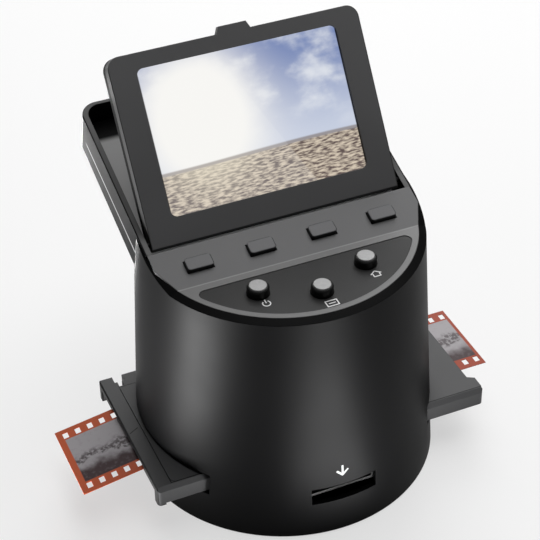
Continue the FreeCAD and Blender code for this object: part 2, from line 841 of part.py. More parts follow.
def make_deck_panel():
    """Grey panel with the sloping deck and the flatter pad, its key holes and bosses."""
    body = new_body("deck_panel")
    upper = deck_line("0")
    lower = deck_line("panel_thick")
    pad(body, "panel_band", "YZ", [lower + upper[::-1]], "-reach", "2 * reach")
    pocket(body, "panel_plan", "XY",
           [box("-reach - overrun", "-reach - overrun", "reach + overrun", "reach + overrun"),
            panel_outline("0")], "-reach", "3 * reach")
    pocket(body, "panel_back_edge", "XY", [box("-reach", "-recess_front", "reach", "reach")],
           "-reach", "2 * reach", DECK)
    holes = [box(f"{side} * key_pitch - key_half_wide - key_fit", "-key_reach - key_half_long - key_fit",
                 f"{side} * key_pitch + key_half_wide + key_fit", "-key_reach + key_half_long + key_fit")
             for side in KEY_SHARES]
    pocket(body, "key_holes", "XY", holes, "-panel_thick - overrun / 2", "panel_thick + overrun", DECK)
    pocket(body, "inset_recess", "XY", [inset_outline("0")], "-inset_deep", "inset_deep + overrun", PAD)
    seats = [ring(side, f"-{along}", "button_radius + key_fit") for _, side, along in BUTTONS]
    pocket(body, "button_holes", "XY", seats, "-panel_thick - overrun / 2", "panel_thick + overrun", PAD)
    key_bosses = [ring("-key_pitch", "-key_reach", "boss_radius"), ring("0", "-key_reach", "boss_radius"),
                  ring("key_pitch", "-key_reach", "boss_radius")]
    pad(body, "key_board_bosses", "XY", key_bosses, f"-{KEY_BOARD_DEEP}",
        f"{KEY_BOARD_DEEP} - {PANEL_DEEP} / 2", DECK)
    pad_bosses = [ring(f"{side} * pad_boss_side", "-power_reach", "boss_radius") for side in (-1, 1)]
    pad(body, "pad_board_bosses", "XY", pad_bosses, f"-{PAD_BOARD_DEEP}",
        f"{PAD_BOARD_DEEP} - panel_thick + (panel_thick - inset_deep) / 2", PAD)
    return keep(body)


def inset_outline(gap):
    """Half-moon plan of the pad's darker inset, with its two round corners."""
    outer = f"(inset_radius - {gap})"
    corner = f"(inset_corner - {gap})"
    line = f"(-inset_reach - {gap})"
    centre = "(crease_reach / cos(pad_tilt))"
    down = f"({centre} - {line} + {corner})"
    side = f"sqrt(({outer} - {corner}) ^ 2 - {down} ^ 2)"
    share = f"{outer} / ({outer} - {corner})"
    touch = (f"{side} * {share}", f"{centre} - {down} * {share}")
    return [
        (f"-{side}", line),
        (f"-{touch[0]}", touch[1], corner),
        ("0", f"{centre} - {outer}", outer),
        (touch[0], touch[1], outer),
        (side, line, corner),
    ]


def make_pad_inset():
    body = new_body("pad_inset")
    seats = [ring(side, f"-{along}", "button_radius + key_fit") for _, side, along in BUTTONS]
    pad(body, "inset_plate", "XY", [inset_outline("inset_fit")] + seats, "-inset_deep", "inset_thick")
    place_on(body, PAD, "0", "0")
    return keep(body)


def make_soft_key(number, share):
    """Key cap with a flange under the panel and a stem over its switch."""
    body = new_body(f"soft_key_{number}")
    low = f"-{FLANGE_TOP_KEY} - flange_thick"
    cap = box("-key_half_wide", "-key_half_long", "key_half_wide", "key_half_long")
    pad(body, f"key_{number}_cap", "XY", [cap], low, f"{FLANGE_TOP_KEY} + flange_thick + key_proud")
    corners = [(f"{a} * key_half_wide", f"{b} * key_half_long") for a in (-1, 1) for b in (-1, 1)]
    round_edges(body, f"key_{number}_corners", upright_edges(body, corners), "key_corner")
    round_edges(body, f"key_{number}_edge", rim_edges(body, "key_proud"), "key_edge")
    flange = box("-key_half_wide - flange_border", "-key_half_long - flange_border",
                 "key_half_wide + flange_border", "key_half_long + flange_border")
    pad(body, f"key_{number}_flange", "XY", [flange], low, "flange_thick")
    pad(body, f"key_{number}_stem", "XY", [ring("0", "0", "stem_radius")], f"{low} - stem_long",
        "stem_long")
    place_on(body, DECK, f"{share} * key_pitch", "-key_reach")
    return keep(body)


def make_button(name, side, along):
    """Round black button and the silver cap set in its top."""
    low = f"-{FLANGE_TOP_BUTTON} - flange_thick"
    body = new_body(name)
    turned(body, f"{name}_profile", [
        ("0", f"{low} - stem_long"),
        ("stem_radius", f"{low} - stem_long"),
        ("stem_radius", low),
        ("button_radius + flange_border", low),
        ("button_radius + flange_border", f"-{FLANGE_TOP_BUTTON}"),
        ("button_radius", f"-{FLANGE_TOP_BUTTON}"),
        ("button_radius", "button_proud - button_edge"),
        ("button_radius - button_edge", "button_proud"),
        ("cap_radius + cap_fit", "button_proud"),
        ("cap_radius + cap_fit", "button_proud - cap_seat"),
        ("0", "button_proud - cap_seat"),
    ])
    place_on(body, PAD, side, f"-{along}")
    keep(body)
    cap = new_body(f"{name}_cap")
    turned(cap, f"{name}_cap_profile", [
        ("0", "button_proud - cap_seat"),
        ("cap_radius", "button_proud - cap_seat"),
        ("cap_radius", "button_proud + cap_proud - cap_edge"),
        ("cap_radius - cap_edge", "button_proud + cap_proud"),
        ("0", "button_proud + cap_proud"),
    ])
    place_on(cap, PAD, side, f"-{along}")
    return keep(cap)


def make_switches(label, frame, places, board_deep):
    """Push switches standing on a key board, one under each key."""
    switches = []
    for number, (side, along) in enumerate(places, 1):
        body = new_body(f"{label}_{number}")
        block = box("-switch_half", "-switch_half", "switch_half", "switch_half")
        pad(body, f"{label}_{number}_block", "XY", [block], "0", "switch_tall")
        pad(body, f"{label}_{number}_plunger", "XY", [ring("0", "0", "plunger_radius")],
            "switch_tall", "plunger_tall")
        place_on(body, frame, side, along, f"-{board_deep}")
        switches.append(body)
    return grouped(label, switches)


def make_key_boards():
    board = plate("key_board", "-key_board_half", "-key_board_front", "key_board_half",
                  "-key_board_back", f"-{KEY_BOARD_DEEP} - board_thick", "board_thick")
    place_on(board, DECK, "0", "0")
    keep(board)
    keys = [(f"{share} * key_pitch", "-key_reach") for share in KEY_SHARES]
    make_switches("key_switches", DECK, keys, KEY_BOARD_DEEP)
    board = new_body("pad_board")
    outline = [("-pad_board_half", "-pad_board_back"), ("-pad_board_half", "-pad_board_mid"),
               ("-pad_board_nose", "-pad_board_front"), ("pad_board_nose", "-pad_board_front"),
               ("pad_board_half", "-pad_board_mid"), ("pad_board_half", "-pad_board_back")]
    pad(board, "pad_board_plate", "XY", [outline], f"-{PAD_BOARD_DEEP} - board_thick", "board_thick")
    place_on(board, PAD, "0", "0")
    keep(board)
    buttons = [(side, f"-{along}") for _, side, along in BUTTONS]
    make_switches("pad_switches", PAD, buttons, PAD_BOARD_DEEP)


def set_on_hinge(item):
    """Put a piece drawn about the hinge line onto the open screen."""
    place(item, "0", "hinge_back * cos(deck_tilt) + hinge_deep * sin(deck_tilt)",
          "deck_height + hinge_back * sin(deck_tilt) - hinge_deep * cos(deck_tilt)",
          "deck_tilt + lid_open")


def lid_box(border):
    return box(f"-lid_half + ({border})", f"-lid_toe + ({border})", f"lid_half - ({border})",
               f"{LID_TOP} - ({border})")


def window_box(border):
    return box(f"-window_half - ({border})", f"window_low - lid_toe - ({border})",
               f"window_half + ({border})", f"window_low - lid_toe + window_tall + ({border})")


def make_lid():
    """Screen lid: front frame, back cover, pane, display and hinge pins."""
    top_corners = [("lid_half", LID_TOP), ("-lid_half", LID_TOP)]
    front = new_body("lid_front")
    pad(front, "lid_front_block", "XY", [lid_box("0")], LID_SPLIT, "lid_front_thick")
    round_edges(front, "lid_front_corners", upright_edges(front, top_corners), "lid_corner")
    pocket(front, "lid_front_hollow", "XY", [lid_box("lid_wall")], LID_SPLIT,
           "lid_front_thick - lid_plate")
    pocket(front, "pane_seat", "XY", [window_box("pane_border")], LID_SPLIT,
           "lid_front_thick - pane_sunk")
    pocket(front, "window", "XY", [window_box("0")], LID_SPLIT, "lid_front_thick + overrun")
    corners = [(f"{side} * window_half", f"window_low - lid_toe + {level} * window_tall")
               for side in (-1, 1) for level in (0, 1)]
    round_edges(front, "window_corners", upright_edges(front, corners), "window_corner")
    tab = [("-tab_half", f"{LID_TOP} - lid_wall"), ("tab_half", f"{LID_TOP} - lid_wall"),
           ("tab_half", LID_TOP), ("tab_tip_half", f"{LID_TOP} + tab_long"),
           ("-tab_tip_half", f"{LID_TOP} + tab_long"), ("-tab_half", LID_TOP)]
    pad(front, "lid_tab", "XY", [tab], "hinge_deep - tab_thick", "tab_thick")
    pocket(front, "pin_holes", "YZ", [ring("0", "0", "pin_radius + press_fit")], "-reach", "2 * reach")
    set_on_hinge(keep(front))
    back = new_body("lid_back")
    pad(back, "lid_back_block", "XY", [lid_box("0")], LID_BACK, "lid_thick - lid_front_thick")
    round_edges(back, "lid_back_corners", upright_edges(back, top_corners), "lid_corner")
    bevel_edges(back, "lid_back_edge_bevel", rim_edges(back, LID_BACK), "lid_back_edge")
    pocket(back, "lid_back_hollow", "XY", [lid_box("lid_wall")], f"{LID_BACK} + lid_wall",
           "lid_thick - lid_front_thick")
    ribs = [box(f"{side} * lcd_rib_place - lcd_rib_half", "-lid_toe + lid_wall",
                f"{side} * lcd_rib_place + lcd_rib_half", f"{LID_TOP} - lid_wall") for side in (-1, 1)]
    pad(back, "lcd_ribs", "XY", ribs, f"{LID_BACK} + lid_wall / 2",
        f"lid_thick - pane_sunk - pane_thick - lcd_thick - 2 * pane_fit - lid_wall / 2")
    set_on_hinge(keep(back))
    pane = new_body("screen_pane")
    pad(pane, "pane_plate", "XY", [window_box("pane_border - pane_fit")],
        "hinge_deep - pane_sunk - pane_thick", "pane_thick")
    set_on_hinge(keep(pane))
    lcd = new_body("display_panel")
    pad(lcd, "lcd_plate", "XY", [window_box("lcd_border")],
        "hinge_deep - pane_sunk - pane_thick - pane_fit - lcd_thick", "lcd_thick")
    set_on_hinge(keep(lcd))
    pins = []
    for side, name in ((-1, "left_pin"), (1, "right_pin")):
        pin = new_body(name)
        start = "lid_half - pin_bite" if side > 0 else "-(tray_half - pin_end)"
        pad(pin, f"{name}_rod", "YZ", [ring("0", "0", "pin_radius")], start,
            "tray_half - pin_end - lid_half + pin_bite")
        set_on_hinge(pin)
        pins.append(pin)
    grouped("lid_hinge_pins", pins)


def make_base():
    """Base plate that closes the shell, with its feet and screws."""
    body = new_body("base_plate")
    turned(body, "base_disc", [("0", "foot_drop"), ("plate_radius", "foot_drop"),
                               ("plate_radius", PLATE_TOP), ("0", PLATE_TOP)])
    feet = [(f"{a} * foot_ring * cos(foot_turn)", f"{b} * foot_ring * sin(foot_turn)")
            for a in (-1, 1) for b in (-1, 1)] + [("0", "0")]
    pocket(body, "foot_seats", "XY", [ring(x, y, "foot_radius + foot_fit") for x, y in feet],
           "foot_drop - overrun", "overrun + foot_seat")
    screws = [(f"{a} * boss_ring * cos(boss_turn)", f"{b} * boss_ring * sin(boss_turn)")
              for a in (-1, 1) for b in (-1, 1)]
    pocket(body, "screw_holes", "XY", [ring(x, y, "screw_radius + screw_fit") for x, y in screws],
           "foot_drop - overrun", "2 * overrun")
    pocket(body, "screw_recesses", "XY", [ring(x, y, "screw_head_radius + screw_fit") for x, y in screws],
           "foot_drop - overrun", "overrun + screw_head_tall")
    posts = [ring(f"{side} * card_post_side", "-card_post_reach", "card_post_radius") for side in (-1, 1)]
    pad(body, "card_posts", "XY", posts, "foot_drop + plate_thick / 2",
        "card_low - board_thick - foot_drop - plate_thick / 2")
    blocks = [box(f"{side} * board_post_side - board_post_half", "main_board_back - board_post_grip",
                  f"{side} * board_post_side + board_post_half", f"{BOARD_REAR} + board_post_grip")
              for side in (-1, 1)]
    pad(body, "board_posts", "XY", blocks, "foot_drop + plate_thick / 2",
        "board_post_top - foot_drop - plate_thick / 2")
    groove = box("-reach", "main_board_back - board_fit", "reach", f"{BOARD_REAR} + board_fit")
    pocket(body, "board_groove", "XY", [groove], "main_board_low", "board_post_top")
    pilots = [ring(f"{a} * bridge_screw_side", f"{b} * bridge_screw_back", "bridge_screw_radius + press_fit")
              for a in (-1, 1) for b in (-1, 1)]
    pocket(body, "bridge_pilots", "XY", pilots, "foot_drop + plate_thick / 2", "plate_thick")
    keep(body)
    names = ("left_front_foot", "left_rear_foot", "right_front_foot", "right_rear_foot", "middle_foot")
    for name, (across, along) in zip(names, feet):
        foot = keep(rod(name, "foot_radius", "foot_drop + foot_seat"))
        move(foot, across, along, "0")
    grouped("base_screws", [make_screw(f"base_screw_{n}", across, along, "foot_drop + screw_head_tall",
                                       "screw_radius", "screw_long", "screw_head_radius",
                                       "screw_head_tall", 1)
                            for n, (across, along) in enumerate(screws, 1)])


def make_screw(name, across, along, seat, radius, length, head_radius, head_tall, up):
    """Plain screw: the head on one side of its seat, the shank on the other."""
    body = new_body(name)
    turned(body, f"{name}_profile", [
        ("0", f"{-up} * {head_tall}"),
        (head_radius, f"{-up} * {head_tall}"),
        (head_radius, "0"),
        (radius, "0"),
        (radius, f"{up} * {length}"),
        ("0", f"{up} * {length}"),
    ])
    place(body, across, along, seat)
    return body


def make_light_box():
    """Backlight: open box, board with its lamps and the diffuser on top."""
    body = plate("light_box", "-light_half_long", "-light_half_wide", "light_half_long",
                 "light_half_wide", LIGHT_LOW, f"light_top - {LIGHT_LOW}")
    inside = box("-light_half_long + light_wall", "-light_half_wide + light_wall",
                 "light_half_long - light_wall", "light_half_wide - light_wall")
    pocket(body, "light_hollow", "XY", [inside], f"{LIGHT_LOW} + light_wall", "light_top")
    step = box("-light_half_long + light_step", "-light_half_wide + light_step",
               "light_half_long - light_step", "light_half_wide - light_step")
    pocket(body, "diffuser_step", "XY", [step], "light_top - diffuser_thick", "overrun")
    keep(body)
    edge = "light_step + diffuser_fit"
    keep(plate("diffuser", f"-light_half_long + {edge}", f"-light_half_wide + {edge}",
               f"light_half_long - ({edge})", f"light_half_wide - ({edge})",
               "light_top - diffuser_thick", "diffuser_thick"))
    edge = "light_wall + led_board_gap"
    keep(plate("led_board", f"-light_half_long + {edge}", f"-light_half_wide + {edge}",
               f"light_half_long - ({edge})", f"light_half_wide - ({edge})",
               f"{LIGHT_LOW} + light_wall", "board_thick"))
    lamps = []
    columns = int(value("led_columns"))
    rows = int(value("led_rows"))
    for column in range(columns):
        for row_number in range(rows):
            lamp = doc.addObject("Part::Box", f"lamp_{column}_{row_number}")
            bind(lamp, "Length", "2 * led_half_long")
            bind(lamp, "Width", "2 * led_half_wide")
            bind(lamp, "Height", "led_tall")
            move(lamp, f"{column - (columns - 1) / 2} * led_pitch_long - led_half_long",
                 f"{row_number - (rows - 1) / 2} * led_pitch_wide - led_half_wide", LED_BOARD_TOP)
            lamps.append(lamp)
    grouped("backlight_lamps", lamps)


def make_rails():
    """Two guide rails that the film holder slides between, and its leaf spring."""
    profile = [("rail_inner", PLATE_TOP), ("rail_outer", PLATE_TOP), ("rail_outer", "rail_top"),
               ("rail_lip", "rail_top"), ("rail_lip", "rail_lip_low"), ("rail_inner", "rail_lip_low"),
               ("rail_inner", "rail_shelf"), ("rail_lip", "rail_shelf"),
               ("rail_lip", "rail_shelf - rail_shelf_thick"),
               ("rail_inner", "rail_shelf - rail_shelf_thick")]
    rear = new_body("rear_rail")
    pad(rear, "rear_rail_profile", "YZ", [profile], "-rail_half_long", "2 * rail_half_long")
    keep(rear)
    front = new_body("front_rail")
    mirrored = [(f"-{along}", height) for along, height in profile]
    pad(front, "front_rail_profile", "YZ", [mirrored], "-rail_half_long", "2 * rail_half_long")
    room = box("-spring_half_long - spring_room", "spring_low - spring_room",
               "spring_half_long + spring_room", "spring_low + spring_wide + spring_room")
    pocket(front, "spring_window", "XZ", [room], "rail_inner - overrun",
           "overrun + spring_sweep")
    keep(front)
    spring = new_body("holder_spring")
    near = "-holder_half - spring_gap"
    far = "-rail_inner - spring_sweep + spring_gap"
    pad(spring, "spring_strip", "XY", [[
        ("-spring_half_long", far), ("-spring_nose - spring_thick", far),
        ("-spring_nose", f"{near} - spring_thick"), ("spring_nose", f"{near} - spring_thick"),
        ("spring_nose + spring_thick", far), ("spring_half_long", far),
        ("spring_half_long", f"{far} + spring_thick"),
        ("spring_nose + 2 * spring_thick", f"{far} + spring_thick"),
        ("spring_nose + spring_thick", near), ("-spring_nose - spring_thick", near),
        ("-spring_nose - 2 * spring_thick", f"{far} + spring_thick"),
        ("-spring_half_long", f"{far} + spring_thick"),
    ]], "spring_low", "spring_wide")
    keep(spring)


def make_bridge():
    """Bridge that stands over the film path and carries the camera."""
    body = plate("camera_bridge", "-bridge_half_long", "-bridge_half_wide", "bridge_half_long",
                 "bridge_half_wide", "bridge_top - bridge_leg_thick", "bridge_leg_thick")
    legs = []
    feet = []
    for a in (-1, 1):
        near = f"{a} * (bridge_half_long - bridge_leg_wide)"
        far = f"{a} * bridge_half_long"
        for b in (-1, 1):
            inner = f"{b} * (bridge_half_wide - bridge_leg_thick)"
            legs.append(box(near, inner, far, f"{b} * bridge_half_wide"))
            feet.append(box(near, inner, far, f"{b} * bridge_foot_end"))
    pad(body, "bridge_legs", "XY", legs, PLATE_TOP, f"bridge_top - {PLATE_TOP}")
    pad(body, "bridge_feet", "XY", feet, PLATE_TOP, "bridge_foot_thick")
    spots = [(f"{a} * bridge_screw_side", f"{b} * bridge_screw_back") for a in (-1, 1) for b in (-1, 1)]
    pocket(body, "bridge_foot_holes", "XY",
           [ring(x, y, "bridge_screw_radius + screw_fit") for x, y in spots],
           "foot_drop", "plate_thick + bridge_foot_thick + overrun")
    pocket(body, "barrel_hole", "XY", [ring("0", "0", "barrel_radius + barrel_fit")],
           "bridge_top - overrun", "2 * overrun")
    keep(body)
    grouped("bridge_screws", [make_screw(f"bridge_screw_{n}", across, along,
                                         f"{PLATE_TOP} + bridge_foot_thick", "bridge_screw_radius",
                                         "bridge_screw_long", "bridge_head_radius",
                                         "bridge_head_tall", -1)
                              for n, (across, along) in enumerate(spots, 1)])


def make_camera():
    """Camera over the film: mount, barrel, lens, sensor and board."""
    mount = plate("camera_mount", "-mount_half", "-mount_half", "mount_half", "mount_half",
                  "bridge_top", "mount_tall")
    pocket(mount, "mount_bore", "XY", [ring("0", "0", "barrel_radius + barrel_fit")],
           "bridge_top - overrun", "mount_tall + 2 * overrun")
    keep(mount)
    barrel = new_body("lens_barrel")
    barrel_top = "bridge_top + mount_tall / 2"
    pad(barrel, "barrel_tube", "XY", [ring("0", "0", "barrel_radius")], "barrel_low",
        f"{barrel_top} - barrel_low")
    pocket(barrel, "barrel_bore_cut", "XY", [ring("0", "0", "barrel_bore")], "barrel_low - overrun",
           f"{barrel_top} - barrel_low + 2 * overrun")
    keep(barrel)
    lens = keep(rod("lens", "barrel_bore - lens_fit", "lens_thick"))
    move(lens, "0", "0", "barrel_low + lens_sunk")
    keep(plate("sensor_board", "-sensor_board_half", "-sensor_board_half", "sensor_board_half",
               "sensor_board_half", "bridge_top + mount_tall", "board_thick"))
    keep(plate("image_sensor", "-sensor_half", "-sensor_half", "sensor_half", "sensor_half",
               "bridge_top + mount_tall - sensor_thick", "sensor_thick"))


def make_main_board():
    """Upright main board at the rear with its processor and socket."""
    keep(plate("main_board", "-main_board_half", "main_board_back", "main_board_half", BOARD_REAR,
               "main_board_low", "main_board_high - main_board_low"))
    keep(plate("main_processor", "-chip_half", "main_board_back - chip_thick", "chip_half",
               "main_board_back", "chip_height - chip_half", "2 * chip_half"))
    socket = plate("usb_socket", "-usb_half", BOARD_REAR, "usb_half", "usb_end",
                   "usb_height - usb_half_tall", "2 * usb_half_tall")
    mouth = box("-usb_half + usb_wall", "usb_height - usb_half_tall + usb_wall",
                "usb_half - usb_wall", "usb_height + usb_half_tall - usb_wall")
    tongue = box("-usb_half + 3 * usb_wall", "usb_height - usb_tongue",
                 "usb_half - 3 * usb_wall", "usb_height + usb_tongue")
    pocket(socket, "usb_mouth", "XZ", [mouth, tongue], "-usb_end - overrun",
           f"overrun + (usb_end - {BOARD_REAR}) * 3 / 4")
    keep(socket)


def make_card_reader():
    """Memory card socket behind the slot in the front wall."""
    keep(plate("card_board", "-card_board_half", "-card_board_front", "card_board_half", "-card_back",
               "card_low - board_thick", "board_thick"))
    socket = plate("card_socket", "-card_half", "-card_front", "card_half", "-card_back",
                   "card_low", "card_tall")
    mouth = box("-card_mouth_half", "card_low + card_mouth_low", "card_mouth_half",
                "card_low + card_mouth_low + card_mouth_tall")
    pocket(socket, "card_mouth", "XZ", [mouth], "card_back + card_mouth_wall", "card_front")
    keep(socket)


def make_film():
    """Strip of 35 mm film, with its left end drooping where it leaves the holder."""
    body = new_body("film_strip")
    half = "film_thick / 2"
    pad(body, "film_sheet", "XZ", [[
        ("-film_left", f"film_height - film_droop - {half}"),
        ("-film_bend", f"film_height - {half}"),
        ("film_right", f"film_height - {half}"),
        ("film_right", f"film_height + {half}"),
        ("-film_bend", f"film_height + {half}"),
        ("-film_left", f"film_height - film_droop + {half}"),
    ]], "-film_width / 2", "film_width")
    first = "(perf_first - film_left)"
    holes = [box(f"{first} - perf_along / 2", f"{side} * (film_width / 2 - perf_edge)",
                 f"{first} + perf_along / 2", f"{side} * (film_width / 2 - perf_edge - perf_across)")
             for side in (-1, 1)]
    cut = pocket(body, "perforations", "XY", holes, "0", "reach")
    row = body.newObject("PartDesign::LinearPattern", "perforation_rows")
    row.Originals = [cut]
    row.Direction = (cut.Profile[0], ["H_Axis"])
    bind(row, "Length", "perf_pitch * (perf_count - 1)")
    bind(row, "Occurrences", "perf_count")
    body.Tip = row
    doc.recompute()
    return keep(body)


def make_film_holder():
    """Sliding holder that the film passes through, with its cover and pins."""
    body = new_body("film_holder")
    outline = [("-holder_left", "-holder_half"), ("thumb_tab_right", "-holder_half"),
               ("thumb_tab_right", "-thumb_tab_step"), ("holder_right", "-thumb_tab_base"),
               ("holder_right", "holder_half"), ("-holder_left", "holder_half")]
    pad(body, "holder_block", "XY", [outline], "holder_low", "holder_top - holder_low")
    ends = [box("-holder_left", f"{side} * (holder_half - end_leg)", "-holder_left + end_flange",
                f"{side} * holder_half") for side in (-1, 1)]
    pad(body, "end_legs", "XY", ends, "holder_low - end_flange_drop", "end_flange_drop + end_flange")
    bevel_edges(body, "holder_edges", rim_edges(body, "holder_top"), "holder_edge")
    outer = "(-holder_half - overrun)"
    bevel = [(outer, "holder_top - holder_bevel - overrun"),
             ("-holder_half + holder_bevel + overrun", "holder_top + overrun"),
             (outer, "holder_top + overrun")]
    pocket(body, "front_bevel", "YZ", [bevel], "-reach", "2 * reach")
    corners = upright_edges(body, [("-holder_left", "-holder_half"), ("-holder_left", "holder_half"),
                                   ("thumb_tab_right", "-holder_half")])
    round_edges(body, "holder_corners", corners, "holder_corner")
    open_end = box("-holder_left - overrun", "-holder_half + end_leg", "-end_open",
                   "holder_half - end_leg")
    pocket(body, "end_opening", "XY", [open_end], "holder_low - overrun",
           "holder_top - end_roof - holder_low + overrun")
    channel = box(f"-{CHANNEL_HALF}", CHANNEL_LOW, CHANNEL_HALF, CHANNEL_HIGH)
    pocket(body, "film_channel", "YZ", [channel], "-reach", "2 * reach")
    mouth = box(f"-{CHANNEL_HALF}", "holder_low - overrun", CHANNEL_HALF, CHANNEL_HIGH)
    pocket(body, "channel_mouth", "YZ", [mouth], "-reach", "reach - end_open")
    cover_room = box("-cover_left", "-cover_front", "reach", "cover_back")
    pocket(body, "cover_room", "XY", [cover_room], CHANNEL_LOW, "holder_top")
    corner = upright_edges(body, [("-cover_left", "-cover_front")])
    round_edges(body, "cover_room_corner", corner, "cover_corner")
    lugs = [lug_box(side, "lug_fit") for side in (-1, 1)]
    pocket(body, "lug_rooms", "XY", lugs, f"{CHANNEL_LOW} - lug_fit", "holder_top")
    light = box("-light_pocket_half_long", "-light_pocket_half_wide", "light_pocket_half_long",
                "light_pocket_half_wide")
    pocket(body, "light_pocket", "XY", [light], "holder_low - overrun",
           f"{CHANNEL_LOW} - holder_floor - holder_low + overrun")
    window = box("-frame_half_long", "-frame_half_wide", "frame_half_long", "frame_half_wide")
    pocket(body, "frame_window", "XY", [window], "holder_low", "holder_top")
    grooves = [box("-end_open", f"{side} * (holder_half - end_leg)", "holder_right - end_leg",
                   f"{side} * (holder_half - end_leg - groove_wide)") for side in (-1, 1)]
    pocket(body, "under_grooves", "XY", grooves, "holder_low - overrun",
           f"{CHANNEL_LOW} - holder_floor - holder_low + overrun")
    notch = box("-mark_notch_left", "mark_notch_front", "-mark_notch_right", "holder_half + overrun")
    slot = box("-mark_slot_left", "mark_slot_front", "-mark_slot_right", "mark_notch_front")
    pocket(body, "mark_notch", "XY", [notch], "0", "reach")
    pocket(body, "mark_slot", "XY", [slot], "holder_top - mark_slot_deep", "overrun")
    pins = ring("cover_pin_back", COVER_PIN_HEIGHT, "cover_pin_radius + press_fit")
    for side, start in ((-1, "-lug_side - cover_pin_half"), (1, "lug_side - cover_pin_half")):
        pocket(body, f"cover_pin_holes_{side + 2}", "YZ", [pins], start, "2 * cover_pin_half")
    return keep(body)


def lug_box(side, gap):
    return box(f"{side} * lug_side - lug_half - {gap}", "cover_back - overrun / 2",
               f"{side} * lug_side + lug_half + {gap}", f"lug_back + {gap}")


def make_holder_cover():
    """Flush cover of the film holder with two hinge lugs at its rear edge."""
    body = new_body("holder_cover")
    gap = "cover_fit"
    left, front, back = (f"-cover_left + {gap}", f"-cover_front + {gap}", f"cover_back - {gap}")
    plan = [(left, front), ("thumb_tab_right", front), ("thumb_tab_right", "-thumb_tab_step"),
            ("holder_right", "-thumb_tab_base"), ("holder_right", back), (left, back)]
    pad(body, "cover_plate", "XY", [plan], CHANNEL_LOW, f"holder_top - {CHANNEL_LOW}")
    corner = upright_edges(body, [(f"-cover_left + {gap}", f"-cover_front + {gap}")])
    round_edges(body, "cover_corner_round", corner, "cover_corner")
    pad(body, "cover_lugs", "XY", [lug_box(side, "0") for side in (-1, 1)], CHANNEL_LOW,
        f"holder_top - {CHANNEL_LOW}")
    channel = box(f"-{CHANNEL_HALF}", f"{CHANNEL_LOW} - overrun", CHANNEL_HALF, CHANNEL_HIGH)
    pocket(body, "cover_channel", "YZ", [channel], "-reach", "2 * reach")
    window = box("-frame_half_long", "-frame_half_wide", "frame_half_long", "frame_half_wide")
    pocket(body, "cover_window", "XY", [window], "holder_low", "holder_top")
    pocket(body, "lug_bores", "YZ",
           [ring("cover_pin_back", COVER_PIN_HEIGHT, "cover_pin_radius + running_fit")],
           "-reach", "2 * reach")
    keep(body)
    pins = []
    for side, name in ((-1, "left_cover_pin"), (1, "right_cover_pin")):
        pin = new_body(name)
        pad(pin, f"{name}_rod", "YZ", [ring("cover_pin_back", COVER_PIN_HEIGHT, "cover_pin_radius")],
            f"{side} * lug_side - cover_pin_half", "2 * cover_pin_half")
        pins.append(pin)
    grouped("cover_hinge_pins", pins)


def make_display_ribbon():
    """Flat ribbon from the slot in the tray floor down to the main board."""
    body = new_body("display_ribbon")
    slot_middle = "(ribbon_slot_back + ribbon_slot_wide / 2)"
    along = f"({slot_middle} * cos(deck_tilt) + ribbon_top * sin(deck_tilt))"
    top = f"(deck_height + {slot_middle} * sin(deck_tilt) - ribbon_top * cos(deck_tilt))"
    far = "(main_board_back - ribbon_thick)"
    pad(body, "ribbon_strip", "YZ", [[
        (along, top),
        (along, "ribbon_knee"),
        (far, "ribbon_knee"),
        (far, "ribbon_end"),
        ("main_board_back", "ribbon_end"),
        ("main_board_back", "ribbon_knee + ribbon_thick"),
        (f"{along} + ribbon_thick", "ribbon_knee + ribbon_thick"),
        (f"{along} + ribbon_thick", top),
    ]], "-ribbon_half", "2 * ribbon_half")
    return keep(body)


make_body_shell()
make_tray_housing()
make_deck_panel()
make_pad_inset()
for number, share in enumerate(KEY_SHARES, 1):
    make_soft_key(number, share)
for name, side, along in BUTTONS:
    make_button(name, side, along)
make_key_boards()
make_lid()
make_base()
make_light_box()
make_rails()
make_bridge()
make_camera()
make_main_board()
make_card_reader()
make_film()
make_film_holder()
make_holder_cover()
make_display_ribbon()
doc.recompute()

faults = [item.Name for item in doc.Objects if "Invalid" in item.State or "Error" in item.State]
faults += [item.Label for item in finished if item.Shape.isNull() or not item.Shape.isValid()]
if faults:
    raise RuntimeError(f"failed objects: {faults}")

os.makedirs("parts", exist_ok=True)
for item in finished:
    item.Shape.exportStep(f"parts/{item.Label}.step")
    bounds = item.Shape.BoundBox
    print(f"{item.Label}: {len(item.Shape.Solids)} solid, {item.Shape.Volume:.0f} mm3,",
          f"x {bounds.XMin:.1f} {bounds.XMax:.1f} y {bounds.YMin:.1f} {bounds.YMax:.1f}",
          f"z {bounds.ZMin:.1f} {bounds.ZMax:.1f}")
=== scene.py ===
# %% [markdown]
# # Dressing a film scanner
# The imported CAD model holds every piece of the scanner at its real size. This lesson loads it,
# gives each piece its finish, adds the printed marks that CAD has no use for, and sets up a small
# studio. All lengths are metres, +Z is up and the buttons face -Y.

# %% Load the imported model
import math

import bpy
from mathutils import Matrix, Vector


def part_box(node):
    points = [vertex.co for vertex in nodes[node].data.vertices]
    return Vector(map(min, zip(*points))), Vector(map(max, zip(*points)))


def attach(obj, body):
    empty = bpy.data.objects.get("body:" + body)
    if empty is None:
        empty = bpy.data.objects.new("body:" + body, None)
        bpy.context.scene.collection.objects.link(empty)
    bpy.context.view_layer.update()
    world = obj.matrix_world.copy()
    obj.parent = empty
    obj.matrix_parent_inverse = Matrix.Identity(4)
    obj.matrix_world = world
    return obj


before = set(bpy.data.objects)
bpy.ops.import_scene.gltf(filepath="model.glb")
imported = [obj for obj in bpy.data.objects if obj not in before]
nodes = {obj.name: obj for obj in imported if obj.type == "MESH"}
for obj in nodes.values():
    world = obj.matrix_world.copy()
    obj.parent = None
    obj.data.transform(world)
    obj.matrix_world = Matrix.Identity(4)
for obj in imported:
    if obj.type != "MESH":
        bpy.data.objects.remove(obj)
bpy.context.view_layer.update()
MM = 0.001

